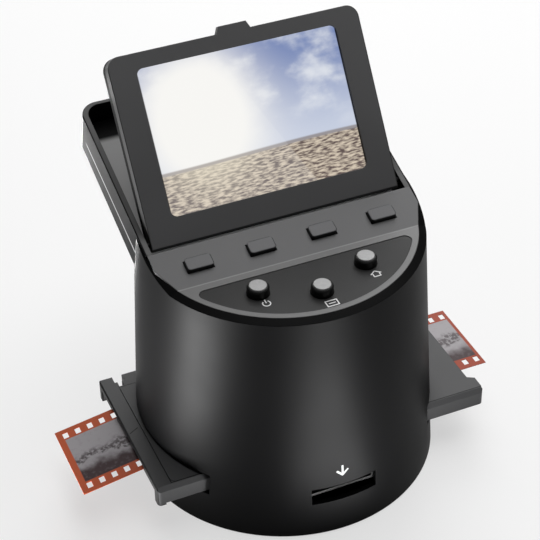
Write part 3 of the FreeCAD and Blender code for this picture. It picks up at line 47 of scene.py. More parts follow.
# %% [markdown]
# ## The camera
# A product photograph is taken with a long lens from a few hundred millimetres away. The angles
# and the lens below were found by fitting known edges of the scanner, so the render lines up with
# the photograph without any lens shift. The Standard view shows a colour as it is written.

# %% Camera
VIEW_AZIMUTH = math.radians(-22.577)
VIEW_ELEVATION = math.radians(37.163)
VIEW_ROLL = math.radians(-1.291)
VIEW_PLACE = Vector((-184.72, -434.43, 435.42)) * MM
LENS_MM = 110.67
SENSOR_MM = 36.0


def aim_camera():
    """Adds the camera at the photograph's place, turned by azimuth, elevation and roll."""
    data = bpy.data.cameras.new("photo_camera")
    data.lens = LENS_MM
    data.sensor_width = SENSOR_MM
    camera = bpy.data.objects.new("photo_camera", data)
    bpy.context.scene.collection.objects.link(camera)
    level = math.cos(VIEW_ELEVATION)
    ahead = Vector((-math.sin(VIEW_AZIMUTH) * level, math.cos(VIEW_AZIMUTH) * level, 0))
    ahead.z = -math.sin(VIEW_ELEVATION)
    side = Vector((math.cos(VIEW_AZIMUTH), math.sin(VIEW_AZIMUTH), 0))
    over = side.cross(ahead)
    right = math.cos(VIEW_ROLL) * side + math.sin(VIEW_ROLL) * over
    up = math.cos(VIEW_ROLL) * over - math.sin(VIEW_ROLL) * side
    turn = Matrix((right, up, -ahead)).transposed().to_4x4()
    camera.matrix_world = Matrix.Translation(VIEW_PLACE) @ turn
    return camera


bpy.context.scene.camera = aim_camera()
bpy.context.scene.view_settings.view_transform = "Standard"
print("camera stands", round(VIEW_PLACE.length, 3), "m from the scanner's foot")

# %% [markdown]
# ## Helpers for materials
# A procedural material is arithmetic on positions. `Wire` wraps one socket, so that `1 - mask` or
# `height * 4` adds the Math nodes by itself, and `Bench` adds any other node in one call.


# %% Wires and benches
BLUR = 0.1 * MM
BEVEL_SAMPLES = 4


class Wire:
    """One socket of a material. Python's operators on it add Math nodes."""

    def __init__(self, bench, socket):
        self.bench = bench
        self.socket = socket

    def maths(self, operation, *others):
        return self.bench.add("ShaderNodeMath", {"operation": operation}, (self, *others))

    def after(self, operation, first):
        return self.bench.add("ShaderNodeMath", {"operation": operation}, (first, self))

    def __add__(self, other):
        return self.maths("ADD", other)

    def __radd__(self, other):
        return self.after("ADD", other)

    def __sub__(self, other):
        return self.maths("SUBTRACT", other)

    def __rsub__(self, other):
        return self.after("SUBTRACT", other)

    def __mul__(self, other):
        return self.maths("MULTIPLY", other)

    def __truediv__(self, other):
        return self.maths("DIVIDE", other)

    def __rtruediv__(self, other):
        return self.after("DIVIDE", other)

    def __gt__(self, other):
        return self.maths("GREATER_THAN", other)

    def __lt__(self, other):
        return self.maths("LESS_THAN", other)

    def size(self):
        return self.maths("ABSOLUTE")

    def wave(self):
        return self.maths("SINE")

    def ramp(self, low, high):
        """0 below low, 1 above high and smooth between. Low may be the larger."""
        settings = {"interpolation_type": "SMOOTHSTEP"}
        return self.bench.add("ShaderNodeMapRange", settings, {0: self, 1: low, 2: high, 3: 0.0, 4: 1.0})

    def over(self, edge, blur=BLUR):
        """1 above edge and 0 below it, smooth for blur to either side."""
        return self.ramp(edge - blur, edge + blur)

    def under(self, edge, blur=BLUR):
        """1 below edge and 0 above it, smooth for blur to either side."""
        return self.ramp(edge + blur, edge - blur)


class Bench:
    """The nodes of one material around its Principled shader."""

    def __init__(self, name):
        self.material = bpy.data.materials.new(name)
        self.material.use_nodes = True
        self.tree = self.material.node_tree
        self.shader = self.tree.nodes["Principled BSDF"]
        self.place = self.add("ShaderNodeTexCoord", output="Object")

    def add(self, kind, settings=None, values=(), output=0):
        """Adds a node, sets it up, then feeds its sockets by order or by name."""
        node = self.tree.nodes.new(kind)
        for key, setting in (settings or {}).items():
            setattr(node, key, setting)
        self.feed(node, values)
        return Wire(self, node.outputs[output])

    def feed(self, node, values):
        pairs = values.items() if isinstance(values, dict) else enumerate(values)
        for key, value in pairs:
            if isinstance(value, Wire):
                self.tree.links.new(value.socket, node.inputs[key])
            else:
                node.inputs[key].default_value = value

    def set(self, **values):
        """Feeds the Principled shader. Underscores stand for the spaces in its sockets' names."""
        self.feed(self.shader, {key.replace("_", " "): value for key, value in values.items()})

    def axes(self):
        """The position on the piece as three wires, in metres."""
        split = self.add("ShaderNodeSeparateXYZ", values=(self.place,)).socket.node
        return [Wire(self, socket) for socket in split.outputs]

    def noise(self, size, place=None, detail=2.0):
        """Cloudy noise from 0 to 1 whose blobs are about size metres across."""
        values = {"Vector": place or self.place, "Scale": 1 / size, "Detail": detail}
        return self.add("ShaderNodeTexNoise", values=values)

    def mix(self, share, low, high):
        """The colour low where share is 0 and high where it is 1."""
        low = low if isinstance(low, Wire) else (*low, 1.0)
        high = high if isinstance(high, Wire) else (*high, 1.0)
        return self.add("ShaderNodeMix", {"data_type": "RGBA"}, {0: share, 6: low, 7: high}, output=2)

    def bump(self, height, depth, strength=1.0, edge=0.0):
        """A normal that follows height, worth depth metres where it is 1, over edges of that radius."""
        values = {"Strength": strength, "Distance": depth, "Height": height}
        if edge:
            values["Normal"] = self.add("ShaderNodeBevel", {"samples": BEVEL_SAMPLES}, {"Radius": edge})
        self.set(Normal=self.add("ShaderNodeBump", values=values))


def linear(level):
    """The light of one channel of the sRGB standard, whose level runs from 0 to 1."""
    return level / 12.92 if level < 0.04 else ((level + 0.055) / 1.055) ** 2.4


def tone(red, green=None, blue=None):
    """A colour as read off a screen, 0 to 255, in the linear light that shaders use."""
    levels = (red, red, red) if green is None else (red, green, blue)
    return tuple(linear(level / 255) for level in levels)


def paint(material, *names):
    """Gives a finished material to CAD nodes, whatever they wore before."""
    for name in names:
        worn = nodes[name].data.materials
        worn.clear()
        worn.append(material)


# %% [markdown]
# ## Moulded plastics
# Most of the scanner is injection-moulded. Such plastic is never one flat colour: the mould's
# spark-eroded skin scatters light in grains of a fraction of a millimetre, and the tone and gloss
# drift a little over the piece where it was handled. One function makes them all, and each piece
# asks for its own colour, gloss and grain.


# %% A moulded plastic
GRAIN = 0.35 * MM
SPECK = 0.16 * MM
HANDLING = 26 * MM
SPREAD = 0.18
SPECK_SHARE = 0.3
DRIFT_SHARE = 0.24
GRAIN_STRENGTH = 0.6
WEAR_GLOSS = 0.14
GRAIN_GLOSS = 0.06


def grained(bench, shade, colour):
    """A colour that wanders a little round the one given."""
    darker = tuple(level * (1 - SPREAD) for level in colour)
    lighter = tuple(min(1.0, level * (1 + SPREAD)) for level in colour)
    return bench.mix(shade, darker, lighter)


def moulded(name, colour, gloss=0.42, grain=0.5, depth=0.02, shine=0.35, zones=(), edge=0.3):
    """Plastic with a grained skin. Depth is the skin's and edge the rounding seen at the piece's
    edges, both in millimetres. Each zone is a mask and its own colour."""
    bench = Bench(name)
    skin = bench.noise(GRAIN * grain, detail=3.0)
    speck = bench.noise(SPECK, detail=1.0)
    drift = bench.noise(HANDLING, detail=4.0)
    shade = (drift - 0.5) * DRIFT_SHARE + (speck - 0.5) * SPECK_SHARE + 0.5
    surface = grained(bench, shade, colour)
    for mask, second in zones:
        surface = bench.mix(mask(bench), surface, grained(bench, shade, second))
    bench.set(Base_Color=surface)
    bench.set(Roughness=gloss + (drift - 0.5) * WEAR_GLOSS + (skin - 0.5) * GRAIN_GLOSS)
    bench.set(Specular_IOR_Level=shine)
    bench.bump(skin, depth * MM, GRAIN_STRENGTH, edge * MM)
    return bench.material


# %% [markdown]
# Some pieces carry two tones: the soft keys are dark at their sides, the tray's rim is as pale as
# the deck beside it, and the film holder has a fine dark seam round its cover and an engraved mark.
# Other second tones are painted light and shade: painted shade along the back and right of the keys'
# tops, on the lid's sides and lower edge and on the holder's left end and lower faces, and painted
# light on the deck's flat pad, along its crease, on the rim near the hinge and on the recess floor.
# Each second tone is a mask worked out from the position, such as the height over the sloping deck.

# %% Masks for second tones, painted light and painted shade
HAIR = 0.05 * MM
THIN = 0.075 * MM

# the deck and its pad
DECK_TILT = math.radians(17.4)
DECK_HEIGHT = 101 * MM
CREASE = -18.1 * MM
CREASE_HALF = 0.25 * MM

# the soft keys, in a row across the deck
KEY_PITCH = 22.92 * MM
KEY_SLOPE = -10.7 * MM
KEY_HALF = Vector((4.8, 2.6)) * MM
KEY_SIDES = 1.6 * MM
KEY_LINE = 0.325 * MM

# the tray's rim and the floor of its recess
RIM_DROP = 0.225 * MM
RIM_REACH = 49.75 * MM
RIM_BLUR = 0.15 * MM
RIM_START = 6 * MM
RIM_FADE = 3 * MM
RECESS_FLOOR = -9.8 * MM
RECESS_SLACK = 0.4 * MM
RECESS_LIT = 59.5 * MM
RECESS_FADE = 1.5 * MM

# the lid, which stands on its hinge
LID_TILT = math.radians(56.7)
HINGE = Vector((0, 3.878, 100.329)) * MM
LID_SIDE = 46.5 * MM
LID_FOOT = -1.8 * MM

# the film holder and its cover
SEAM_HALF = 0.15 * MM
SEAM_GAP = 0.06 * MM
SEAM_BACK = 25.5 * MM
SEAM_STOP = 24.25 * MM
SEAM_FADE = 0.25 * MM
MARK_START = Vector((-61.2, -0.6)) * MM
MARK_END = Vector((-57.5, 1.4)) * MM
MARK_HALF = 0.2 * MM
MARK_BLUR = 0.06 * MM
HOLDER_END = -61.8 * MM
HOLDER_UNDERSIDE = 0.3 * MM


def over_deck(bench):
    """How far a point is above the plane of the deck, and how far up its slope."""
    _, y, z = bench.axes()
    rise = z - DECK_HEIGHT
    lift = rise * math.cos(DECK_TILT) - y * math.sin(DECK_TILT)
    return lift, y * math.cos(DECK_TILT) + rise * math.sin(DECK_TILT)


def key_top(bench):
    """The top face of a soft key."""
    lift, _ = over_deck(bench)
    return lift.over(KEY_SIDES)


def painted_key_edge_shade(bench):
    """Painted shade: a fine dark line along the back and the right of each key's top."""
    _, slope = over_deck(bench)
    x, _, _ = bench.axes()
    aside = x - ((x / KEY_PITCH).maths("FLOOR") + 0.5) * KEY_PITCH
    past = (aside - KEY_HALF.x).maths("MAXIMUM", slope - KEY_SLOPE - KEY_HALF.y)
    return past.over(-KEY_LINE, THIN)


def painted_pad_light(bench):
    """Painted light: the flat part of the deck panel, in front of its crease, made paler than its slope."""
    _, y, _ = bench.axes()
    return y.under(CREASE)


def painted_crease_highlight(bench):
    """A painted highlight along the crease between the deck's slope and the pad."""
    _, y, _ = bench.axes()
    return (y - CREASE).size().under(CREASE_HALF)


def tray_rim(bench):
    """The tray's top rim, but for its outer edge."""
    lift, _ = over_deck(bench)
    x, _, _ = bench.axes()
    return lift.over(-RIM_DROP, THIN) * x.size().under(RIM_REACH, RIM_BLUR)


def painted_rim_light(bench):
    """A painted lighter band on the rim near the hinge, where it continues the deck."""
    _, slope = over_deck(bench)
    return tray_rim(bench) * slope.under(RIM_START, RIM_FADE)


def painted_recess_light(bench):
    """A painted pool of light on the front of the recess floor, under the lid."""
    lift, slope = over_deck(bench)
    on_floor = (lift - RECESS_FLOOR).size().under(RECESS_SLACK)
    return on_floor * slope.under(RECESS_LIT, RECESS_FADE)


def painted_lid_side_shade(bench):
    """Painted shade on the lid's left and right sides."""
    x, _, _ = bench.axes()
    return x.size().over(LID_SIDE, HAIR)


def painted_lid_foot_shade(bench):
    """Painted shade on the lid's lower edge, along the hinge."""
    _, y, z = bench.axes()
    along = (y - HINGE.y) * math.cos(LID_TILT) + (z - HINGE.z) * math.sin(LID_TILT)
    return along.under(LID_FOOT)


def cover_seam(bench):
    """The outline of the holder's cover along its front and its left end."""
    low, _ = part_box("holder_cover")
    x, y, _ = bench.axes()
    front = low.y - SEAM_GAP
    beside = (y - (front + SEAM_BACK) / 2).size() - (SEAM_BACK - front) / 2
    past = beside.maths("MAXIMUM", (low.x - SEAM_GAP) - x)
    return past.size().under(SEAM_HALF, HAIR) * y.under(SEAM_STOP, SEAM_FADE)


def gauge_mark(bench):
    """A short engraved line on the holder's left rim."""
    x, y, _ = bench.axes()
    run = (MARK_END - MARK_START).normalized()
    along = (x - MARK_START.x) * run.x + (y - MARK_START.y) * run.y
    aside = ((y - MARK_START.y) * run.x - (x - MARK_START.x) * run.y).size()
    within = (along > 0.0) * (along < (MARK_END - MARK_START).length)
    return aside.under(MARK_HALF, MARK_BLUR) * within


def painted_end_shade(bench):
    """Painted shade on the holder's left end and its bevel, which are in the dark."""
    x, _, _ = bench.axes()
    return x.under(HOLDER_END)


def painted_underside_shade(bench):
    """Painted shade on the holder's lower faces, which are made plain black."""
    low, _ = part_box("film_holder")
    _, _, z = bench.axes()
    return z.under(low.z + HOLDER_UNDERSIDE)


# %% Every moulded piece
SHADE = (0.0022, 0.0022, 0.0024)
# the rim's pale tone is its own; the band near the hinge and the recess floor's front are painted light
rim_tone_and_painted_light = [(tray_rim, tone(86)), (painted_rim_light, tone(104)), (painted_recess_light, tone(150))]
# the pad's paler tone and the crease's bright line are both painted light
panel_painted_light = [(painted_pad_light, tone(109)), (painted_crease_highlight, tone(132))]
# the lid's darker sides and its black lower edge are painted shade
lid_painted_shade = [(painted_lid_side_shade, tone(50)), (painted_lid_foot_shade, tone(6))]
# the key tops' grey is their own; the dark line on their back and right is painted shade
key_tops_and_painted_shade = [(key_top, tone(92, 92, 94)), (painted_key_edge_shade, tone(30))]
# the cover's seam and the engraved mark are real; the dark left end and lower faces are painted shade
holder_marks_and_painted_shade = [(painted_end_shade, tone(20)), (cover_seam, tone(14)), (gauge_mark, tone(14)), (painted_underside_shade, tone(10))]
shell = {"depth": 0.008}
panel = {"grain": 0.8, "depth": 0.03}
black_shell = moulded("black_shell", SHADE, gloss=0.48, shine=0.05, **shell)
tray_shell = moulded("tray_shell", SHADE, gloss=0.5, shine=0.06, zones=rim_tone_and_painted_light, **shell)
panel_grey = moulded("panel_grey", tone(97, 97, 98), gloss=0.5, zones=panel_painted_light, **panel)
inset_dark = moulded("inset_dark", tone(40), gloss=0.55, shine=0.25, **panel)
lid_grey = moulded("lid_grey", tone(94, 94, 95), gloss=0.5, grain=0.8, depth=0.025, zones=lid_painted_shade)
key_grey = moulded("key_grey", tone(8), gloss=0.42, depth=0.012, zones=key_tops_and_painted_shade)
button_black = moulded("button_black", tone(12), gloss=0.36, depth=0.005, shine=0.3)
holder_grey = tone(82, 82, 83)
holder_black = moulded("holder_black", holder_grey, gloss=0.5, depth=0.018, shine=0.2, zones=holder_marks_and_painted_shade)
inner_black = moulded("inner_black", tone(38), gloss=0.6, depth=0.03, edge=0.0)
paint(black_shell, "body_shell", "base_plate", "lid_back")
paint(tray_shell, "tray_housing")
paint(panel_grey, "deck_panel")
paint(inset_dark, "pad_inset")
paint(lid_grey, "lid_front")
paint(key_grey, *[f"soft_key_{count}" for count in (1, 2, 3, 4)])
paint(button_black, "power_button", "scan_button", "home_button")
paint(holder_black, "film_holder", "holder_cover")
paint(inner_black, "light_box", "rear_rail", "front_rail", "camera_bridge", "camera_mount", "lens_barrel")
print("moulded skin, its specks", round(SPECK / MM, 2), "mm across")

# %% [markdown]
# ## Metals
# The button caps are satin metal, turned, so their fine rings run round the middle of each cap.
# Pins and screws are plain rolled steel with a lengthwise brush, and the sockets a darker one.


# %% Metals
TURNING = 0.12 * MM
RING_DEPTH = 0.002 * MM
BRUSH = 0.08 * MM
BRUSH_DEPTH = 0.004 * MM
BRUSH_STRETCH = (0.04, 1.0, 1.0)


def ring_distance(bench, centre):
    """How far a point is from an upright axis through centre, in metres."""
    across = bench.add("ShaderNodeVectorMath", {"operation": "SUBTRACT"}, (bench.place, tuple(centre)))
    flat = bench.add("ShaderNodeVectorMath", {"operation": "MULTIPLY"}, (across, (1.0, 1.0, 0.0)))
    return bench.add("ShaderNodeVectorMath", {"operation": "LENGTH"}, (flat,), output="Value")


def turned_metal(name, centre):
    """Satin metal with the rings that a lathe leaves round centre."""
    bench = Bench(name)
    rings = (ring_distance(bench, centre) * (math.tau / TURNING)).wave()
    cloud = bench.noise(1.5 * MM, detail=3.0)
    bench.set(Base_Color=bench.mix(cloud, tone(128), tone(158)))
    bench.set(Roughness=0.5 + (cloud - 0.5) * 0.16 + rings * 0.03, Metallic=0.5)
    bench.bump(rings, RING_DEPTH, 0.5)
    return bench.material


def brushed_steel(name, level=150, gloss=0.3):
    """Rolled steel with a fine brush along X."""
    bench = Bench(name)
    values = {"Vector": bench.place, "Scale": BRUSH_STRETCH}
    stretched = bench.add("ShaderNodeMapping", values=values)
    brush = bench.noise(BRUSH, stretched, 3.0)
    stain = bench.noise(6 * MM, detail=4.0)
    bench.set(Base_Color=bench.mix(stain, tone(level * 0.88), tone(level * 1.12)), Metallic=1.0)
    bench.set(Roughness=gloss + (brush - 0.5) * 0.2 + (stain - 0.5) * 0.1)
    bench.bump(brush, BRUSH_DEPTH, 0.4)
    return bench.material


def middle(name):
    """The centre of a CAD node's box."""
    low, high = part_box(name)
    return (low + high) / 2


for cap in ("power_button_cap", "scan_button_cap", "home_button_cap"):
    paint(turned_metal(cap + "_metal", middle(cap)), cap)
steel = brushed_steel("steel")
paint(brushed_steel("blackened_steel", 30, 0.5), "lid_hinge_pins")
paint(steel, "cover_hinge_pins", "base_screws", "bridge_screws", "holder_spring")
paint(brushed_steel("socket_steel", 70, 0.5), "usb_socket", "card_socket")
print("rings on a cap", round(TURNING / MM, 2), "mm apart")

# %% [markdown]
# ## The screen picture
# The screen shows a sunny view. The picture is worked out from the position on the pane: across
# runs from -1 at the window's left edge to 1 at its right, and height from 0 at the bottom to 1 at
# the top. Every motif is a plain one: a bright sky with loose clouds, a low sun in haze, a thin line
# of far hills, and rippled sand. Over them lies a faint painted reflection, a pale wash over the part
# of the picture left of a slanting line.

# %% Screen picture
SUN_ACROSS = -0.5
SUN_HEIGHT = 0.58
SUN_FALL = 5.5
HORIZON = 0.3
CLOUD_SIZE = 0.5
RIPPLE_SIZE = 0.09
WINDOW_HALF = 37.3 * MM
PANE_LOW, PANE_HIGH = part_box("screen_pane")
SCREEN_LIGHT = 0.93
WHITE = (1.0, 1.0, 1.0)


def sun_glow(across, height):
    """1 at the sun and less round it."""
    off = across - SUN_ACROSS
    rise = height - SUN_HEIGHT
    reach = off * off + rise * rise * 1.6
    return 1 / (1 + reach * SUN_FALL)


def sky_colour(bench, across, height, glow):
    """Blue from above, pale at the horizon, with clouds and the sun's haze."""
    spread = bench.add("ShaderNodeCombineXYZ", values=(across, height * 2.2, 0.0))
    clouds = bench.noise(CLOUD_SIZE, spread, 6.0)
    sky = bench.mix(height.ramp(0.25, 1.0), tone(206, 214, 232), tone(112, 132, 184))
    veil = clouds.ramp(0.44, 0.7) * height.ramp(0.25, 0.6)
    sky = bench.mix(veil * 0.75, sky, tone(244, 247, 250))
    return bench.mix(glow.ramp(0.08, 0.55), sky, (1.0, 0.99, 0.96))


def sand_colour(bench, across, height, glow):
    """Rippled sand, a little washed out below the sun."""
    place = bench.add("ShaderNodeCombineXYZ", values=(across * 1.2, height * 7.0, 0.0))
    ripples = bench.noise(RIPPLE_SIZE, place, 5.0)
    sand = bench.mix(ripples.ramp(0.34, 0.66), tone(98, 84, 82), tone(222, 208, 188))
    return bench.mix(glow.ramp(0.2, 0.6) * 0.5, sand, tone(250, 240, 214))


def screen_picture():
    """A lit picture behind a glossy pane."""
    bench = Bench("screen_picture")
    x, _, z = bench.axes()
    across = x / WINDOW_HALF
    height = (z - PANE_LOW.z) / (PANE_HIGH.z - PANE_LOW.z)
    glow = sun_glow(across, height)
    horizon = HORIZON + (across * 2.3 + 0.4).wave() * 0.008
    hills = (height - horizon).size().ramp(0.022, 0.008) * 0.7
    sky = bench.mix(hills, sky_colour(bench, across, height, glow), tone(128, 112, 100))
    ground = (horizon - height).ramp(0.0, 0.012)
    picture = bench.mix(ground, sky, sand_colour(bench, across, height, glow))
    # painted reflection: a faint white wash over the picture, left of a slanting line
    painted_glare = (across + height * 0.76).under(0.5, 0.01) * 0.1
    picture = bench.mix(painted_glare, picture, WHITE)
    brim = across.size().maths("MAXIMUM", (height - 0.5).size() * 2.0).over(0.99, 0.005)
    picture = bench.mix(brim * height.over(0.03, 0.01), picture, tone(14))
    smear = bench.noise(9 * MM, detail=2.0)
    bench.set(Base_Color=bench.mix(smear, tone(10), tone(16)), Roughness=0.07 + smear * 0.04)
    bench.set(Emission_Color=picture, Emission_Strength=SCREEN_LIGHT, Specular_IOR_Level=0.4)
    return bench.material


paint(screen_picture(), "screen_pane")
print("screen picture", round((PANE_HIGH.x - PANE_LOW.x) / MM, 1), "mm wide")

# %% [markdown]
# ## The film strip
# A developed strip has an orange base, and each picture is 36 mm by 24 mm. This strip was wound on a
# little far between pictures, so its bars are 5 mm wide. The perforations are holes in the CAD
# solid. The pictures are plain grey views: a pale sky, a tree line and a darker field.

# %% Film
FRAME_PITCH = 40.97 * MM
FRAME_WIDE = 36 * MM
FRAME_TALL = 24 * MM
FIRST_FRAME = -64.6 * MM
FRAME_EDGE = 0.1 * MM
FRAME_BLUR = 0.2 * MM
LEAF = 1.6 * MM
BLOB = 7 * MM


def grey_view(bench, view, y):
    """A tree line between a pale sky and a dark field. View is the place inside a frame."""
    blobs = bench.noise(BLOB, view, 5.0)
    leaves = bench.noise(LEAF, view, 4.0)
    rise = y / FRAME_TALL + (blobs - 0.5) * 0.5
    grey = bench.mix(rise.ramp(-0.34, -0.1), tone(66, 50, 52), tone(168, 164, 167))
    trees = rise.ramp(-0.12, -0.06) * rise.ramp(0.18, 0.0) * leaves.ramp(0.36, 0.58)
    grey = bench.mix(trees * 0.85, grey, tone(52, 40, 43))
    grey = bench.mix(leaves.ramp(0.5, 0.75) * 0.25, grey, tone(140, 130, 134))
    return grey, blobs, leaves


def film_pictures():
    """Glossy orange film with grey pictures between its rows of holes."""
    bench = Bench("film_pictures")
    x, y, _ = bench.axes()
    along = x - FIRST_FRAME
    count = (along / FRAME_PITCH + 0.5).maths("FLOOR")
    inside = along - count * FRAME_PITCH
    edge = (FRAME_WIDE / 2 - inside.size()).over(FRAME_EDGE, FRAME_BLUR)
    side = (FRAME_TALL / 2 - y.size()).over(FRAME_EDGE, FRAME_BLUR)
    view = bench.add("ShaderNodeCombineXYZ", values=(inside, y, count * 0.37))
    grey, blobs, leaves = grey_view(bench, view, y)
    base = bench.mix(bench.noise(12 * MM, detail=3.0), tone(190, 86, 50), tone(200, 94, 56))
    base = bench.mix(x.ramp(0.0, 60 * MM) * 0.8, base, tone(150, 56, 32))
    bench.set(Base_Color=bench.mix(edge * side, base, grey))
    bench.set(Roughness=0.42 + blobs * 0.08, Specular_IOR_Level=0.2)
    bench.bump(leaves, 0.01 * MM, 0.2)
    return bench.material


paint(film_pictures(), "film_strip")
print("bars between pictures", round((FRAME_PITCH - FRAME_WIDE) / MM, 2), "mm wide")

# %% [markdown]
# ## Boards, chips and lamps
# These show only through the openings or with the covers off. The boards have green lacquer over
# copper tracks, chips are dull black, and the light box's diffuser is opal.


# %% Inner pieces
TRACK = 1.8 * MM


def circuit_board():
    """Green lacquer with the faint relief of the tracks below it."""
    bench = Bench("circuit_board")
    values = {"Vector": bench.place, "Scale": 1 / TRACK}
    tracks = bench.add("ShaderNodeTexVoronoi", {"distance": "MANHATTAN"}, values)
    line = tracks.ramp(0.46, 0.5)
    bench.set(Base_Color=bench.mix(line, tone(14, 74, 40), tone(30, 104, 58)))
    bench.set(Roughness=0.32 + line * 0.1)
    bench.bump(line, 0.03 * MM, 0.6)
    return bench.material


def opal(name, glow):
    """Milky plastic that a lamp behind it lights evenly."""
    bench = Bench(name)
    cloud = bench.noise(3 * MM, detail=2.0)
    bench.set(Base_Color=bench.mix(cloud, tone(226, 228, 230), tone(242, 243, 244)))
    bench.set(Roughness=0.45 + cloud * 0.1, Emission_Color=(0.9, 0.95, 1.0, 1.0), Emission_Strength=glow)
    return bench.material


def clear_glass():
    """The lens, clear with a faint coating."""
    bench = Bench("clear_glass")
    dust = bench.noise(0.6 * MM, detail=3.0)
    bench.set(Base_Color=bench.mix(dust, (0.9, 0.93, 1.0), (0.97, 0.98, 1.0)), Roughness=0.03 + dust * 0.04)
    bench.set(Transmission_Weight=1.0, IOR=1.5)
    return bench.material


board = circuit_board()
chip = moulded("chip_package", tone(30, 30, 32), gloss=0.5, depth=0.02)
paint(board, "key_board", "pad_board", "led_board", "sensor_board", "main_board", "card_board")
paint(chip, "main_processor", "image_sensor", "key_switches", "pad_switches", "display_panel")
paint(moulded("display_ribbon", tone(158, 96, 34), gloss=0.36, depth=0.01), "display_ribbon")
paint(opal("diffuser_opal", 0.2), "diffuser")
paint(opal("lamp_lens", 0.4), "backlight_lamps")
paint(clear_glass(), "lens")
print("tracks", round(TRACK / MM, 1), "mm apart")

# %% [markdown]
# ## Feet
# The feet are black rubber: dull, with a pebbled face and a little dust.


# %% Rubber
def rubber():
    """Dull black rubber with pebbles and dust."""
    bench = Bench("foot_rubber")
    pebble = bench.noise(0.5 * MM, detail=3.0)
    dust = bench.noise(3 * MM, detail=4.0)
    bench.set(Base_Color=bench.mix(dust.ramp(0.45, 0.75), tone(24), tone(46, 45, 43)))
    bench.set(Roughness=0.78 + (pebble - 0.5) * 0.2, Specular_IOR_Level=0.3)
    bench.bump(pebble, 0.05 * MM, 0.8)
    return bench.material


feet = [name for name in nodes if name.endswith("_foot")]
paint(rubber(), *feet)
print("rubber on", len(feet), "feet")

# %% [markdown]
# ## Printed marks
# Marks are white ink a few hundredths of a millimetre thick. Each is drawn flat round the origin
# with Blender's own tools, then set down on the surface that carries it. The surface is found with
# a ray, so a mark can't float or sink. The pad carries three plain signs: a power sign, a frame and
# a house.

# %% Tools for marks
INK = 0.05 * MM
SUNK_SHARE = 0.2
RING_POINTS = 48


def begin():
    """Leaves nothing selected, so that the next primitive is worked on alone."""
    if bpy.context.object and bpy.context.object.mode != "OBJECT":
        bpy.ops.object.mode_set(mode="OBJECT")
    bpy.ops.object.select_all(action="DESELECT")


def white_ink():
    """Ink with faint wear."""
    bench = Bench("white_ink")
    worn = bench.noise(0.25 * MM, detail=3.0)
    bench.set(Base_Color=bench.mix(worn, tone(206), tone(236)), Roughness=0.45 + (worn - 0.5) * 0.2)
    return bench.material


def bar(across, up, wide, tall, turn=0.0):
    """A flat strip of ink centred on across and up, turned about its own middle."""
    begin()
    bpy.ops.mesh.primitive_plane_add(size=1, location=(across, up, 0), rotation=(0, 0, turn))
    strip = bpy.context.object
    strip.scale = (wide, tall, 1)
    bpy.ops.object.transform_apply(location=True, rotation=True, scale=True)
    return strip


def open_ring(radius, stroke, gap):
    """A ring of ink with a gap at its top, gap in radians either side."""
    begin()
    bpy.ops.mesh.primitive_circle_add(vertices=RING_POINTS, radius=radius - stroke, fill_type="NOTHING")
    ring = bpy.context.object
    bpy.ops.object.mode_set(mode="EDIT")
    bpy.ops.mesh.select_all(action="SELECT")
    bpy.ops.mesh.extrude_edges_move()
    factor = radius / (radius - stroke)
    bpy.ops.transform.resize(value=(factor, factor, 1), center_override=(0, 0, 0))
    bpy.ops.mesh.select_all(action="DESELECT")
    bpy.ops.object.mode_set(mode="OBJECT")
    for face in ring.data.polygons:
        around = math.atan2(face.center.x, face.center.y)
        face.select = abs(around) < gap
    bpy.ops.object.mode_set(mode="EDIT")
    bpy.ops.mesh.delete(type="FACE")
    bpy.ops.object.mode_set(mode="OBJECT")
    return ring


def fused(name, strips):
    """Joins the strips of one mark and gives the ink its thickness."""
    begin()
    for strip in strips:
        strip.select_set(True)
    bpy.context.view_layer.objects.active = strips[0]
    bpy.ops.object.join()
    mark = bpy.context.object
    mark.name = name
    bpy.ops.object.mode_set(mode="EDIT")
    bpy.ops.mesh.select_all(action="SELECT")
    bpy.ops.mesh.normals_make_consistent(inside=False)
    bpy.ops.mesh.extrude_region_move(TRANSFORM_OT_translate={"value": (0, 0, INK)})
    bpy.ops.mesh.select_all(action="SELECT")
    bpy.ops.mesh.normals_make_consistent(inside=False)
    bpy.ops.object.mode_set(mode="OBJECT")
    return mark


def set_down(mark, node, start, direction):
    """Moves a flat mark so that it lies on the node where a ray from start meets it."""
    hit, point, normal, _ = nodes[node].ray_cast(start, direction)
    if not hit:
        raise RuntimeError(f"the ray for {mark.name} misses {node}")
    across = Vector((1, 0, 0))
    up = normal.cross(across)
    turn = Matrix((across, up, normal)).transposed().to_4x4()
    mark.data.transform(Matrix.Translation(point - normal * INK * SUNK_SHARE) @ turn)
    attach(mark, "scanner_body")
    return mark


# %% Signs on the pad
ink = white_ink()
STROKE = 0.42 * MM
SIGN = 1.55 * MM
DOWN = Vector((0, 0, -1))
ABOVE = 0.2
GAP = math.radians(38)
ROOF_LEAN = math.radians(38)


def power_sign():
    """A ring with a gap at its top and a stem in the gap."""
    ring = open_ring(SIGN, STROKE, GAP)
    stem = bar(0, SIGN * 0.72, STROKE, SIGN * 1.2)
    return fused("power_sign", [ring, stem])


def frame_sign():
    """An upright picture frame with a line across it."""
    half, tall = SIGN * 1.45, SIGN
    rails = [bar(0, side * (tall - STROKE / 2), half * 2, STROKE) for side in (-1, 1)]
    posts = [bar(side * (half - STROKE / 2), 0, STROKE, (tall - STROKE) * 2) for side in (-1, 1)]
    beam = bar(0, 0, half * 1.1, STROKE * 0.9)
    return fused("frame_sign", [*rails, *posts, beam])


def house_sign():
    """Two walls, a step and a pitched roof."""
    tall = SIGN * 1.1
    walls = [bar(side * (SIGN * 0.78), -SIGN * 0.42, STROKE, tall) for side in (-1, 1)]
    step = bar(0, -SIGN * 0.86, SIGN * 1.8, STROKE)
    roof = [bar(side * SIGN * 0.6, SIGN * 0.52, SIGN * 1.65, STROKE, -side * ROOF_LEAN) for side in (-1, 1)]
    return fused("house_sign", [*walls, step, *roof])


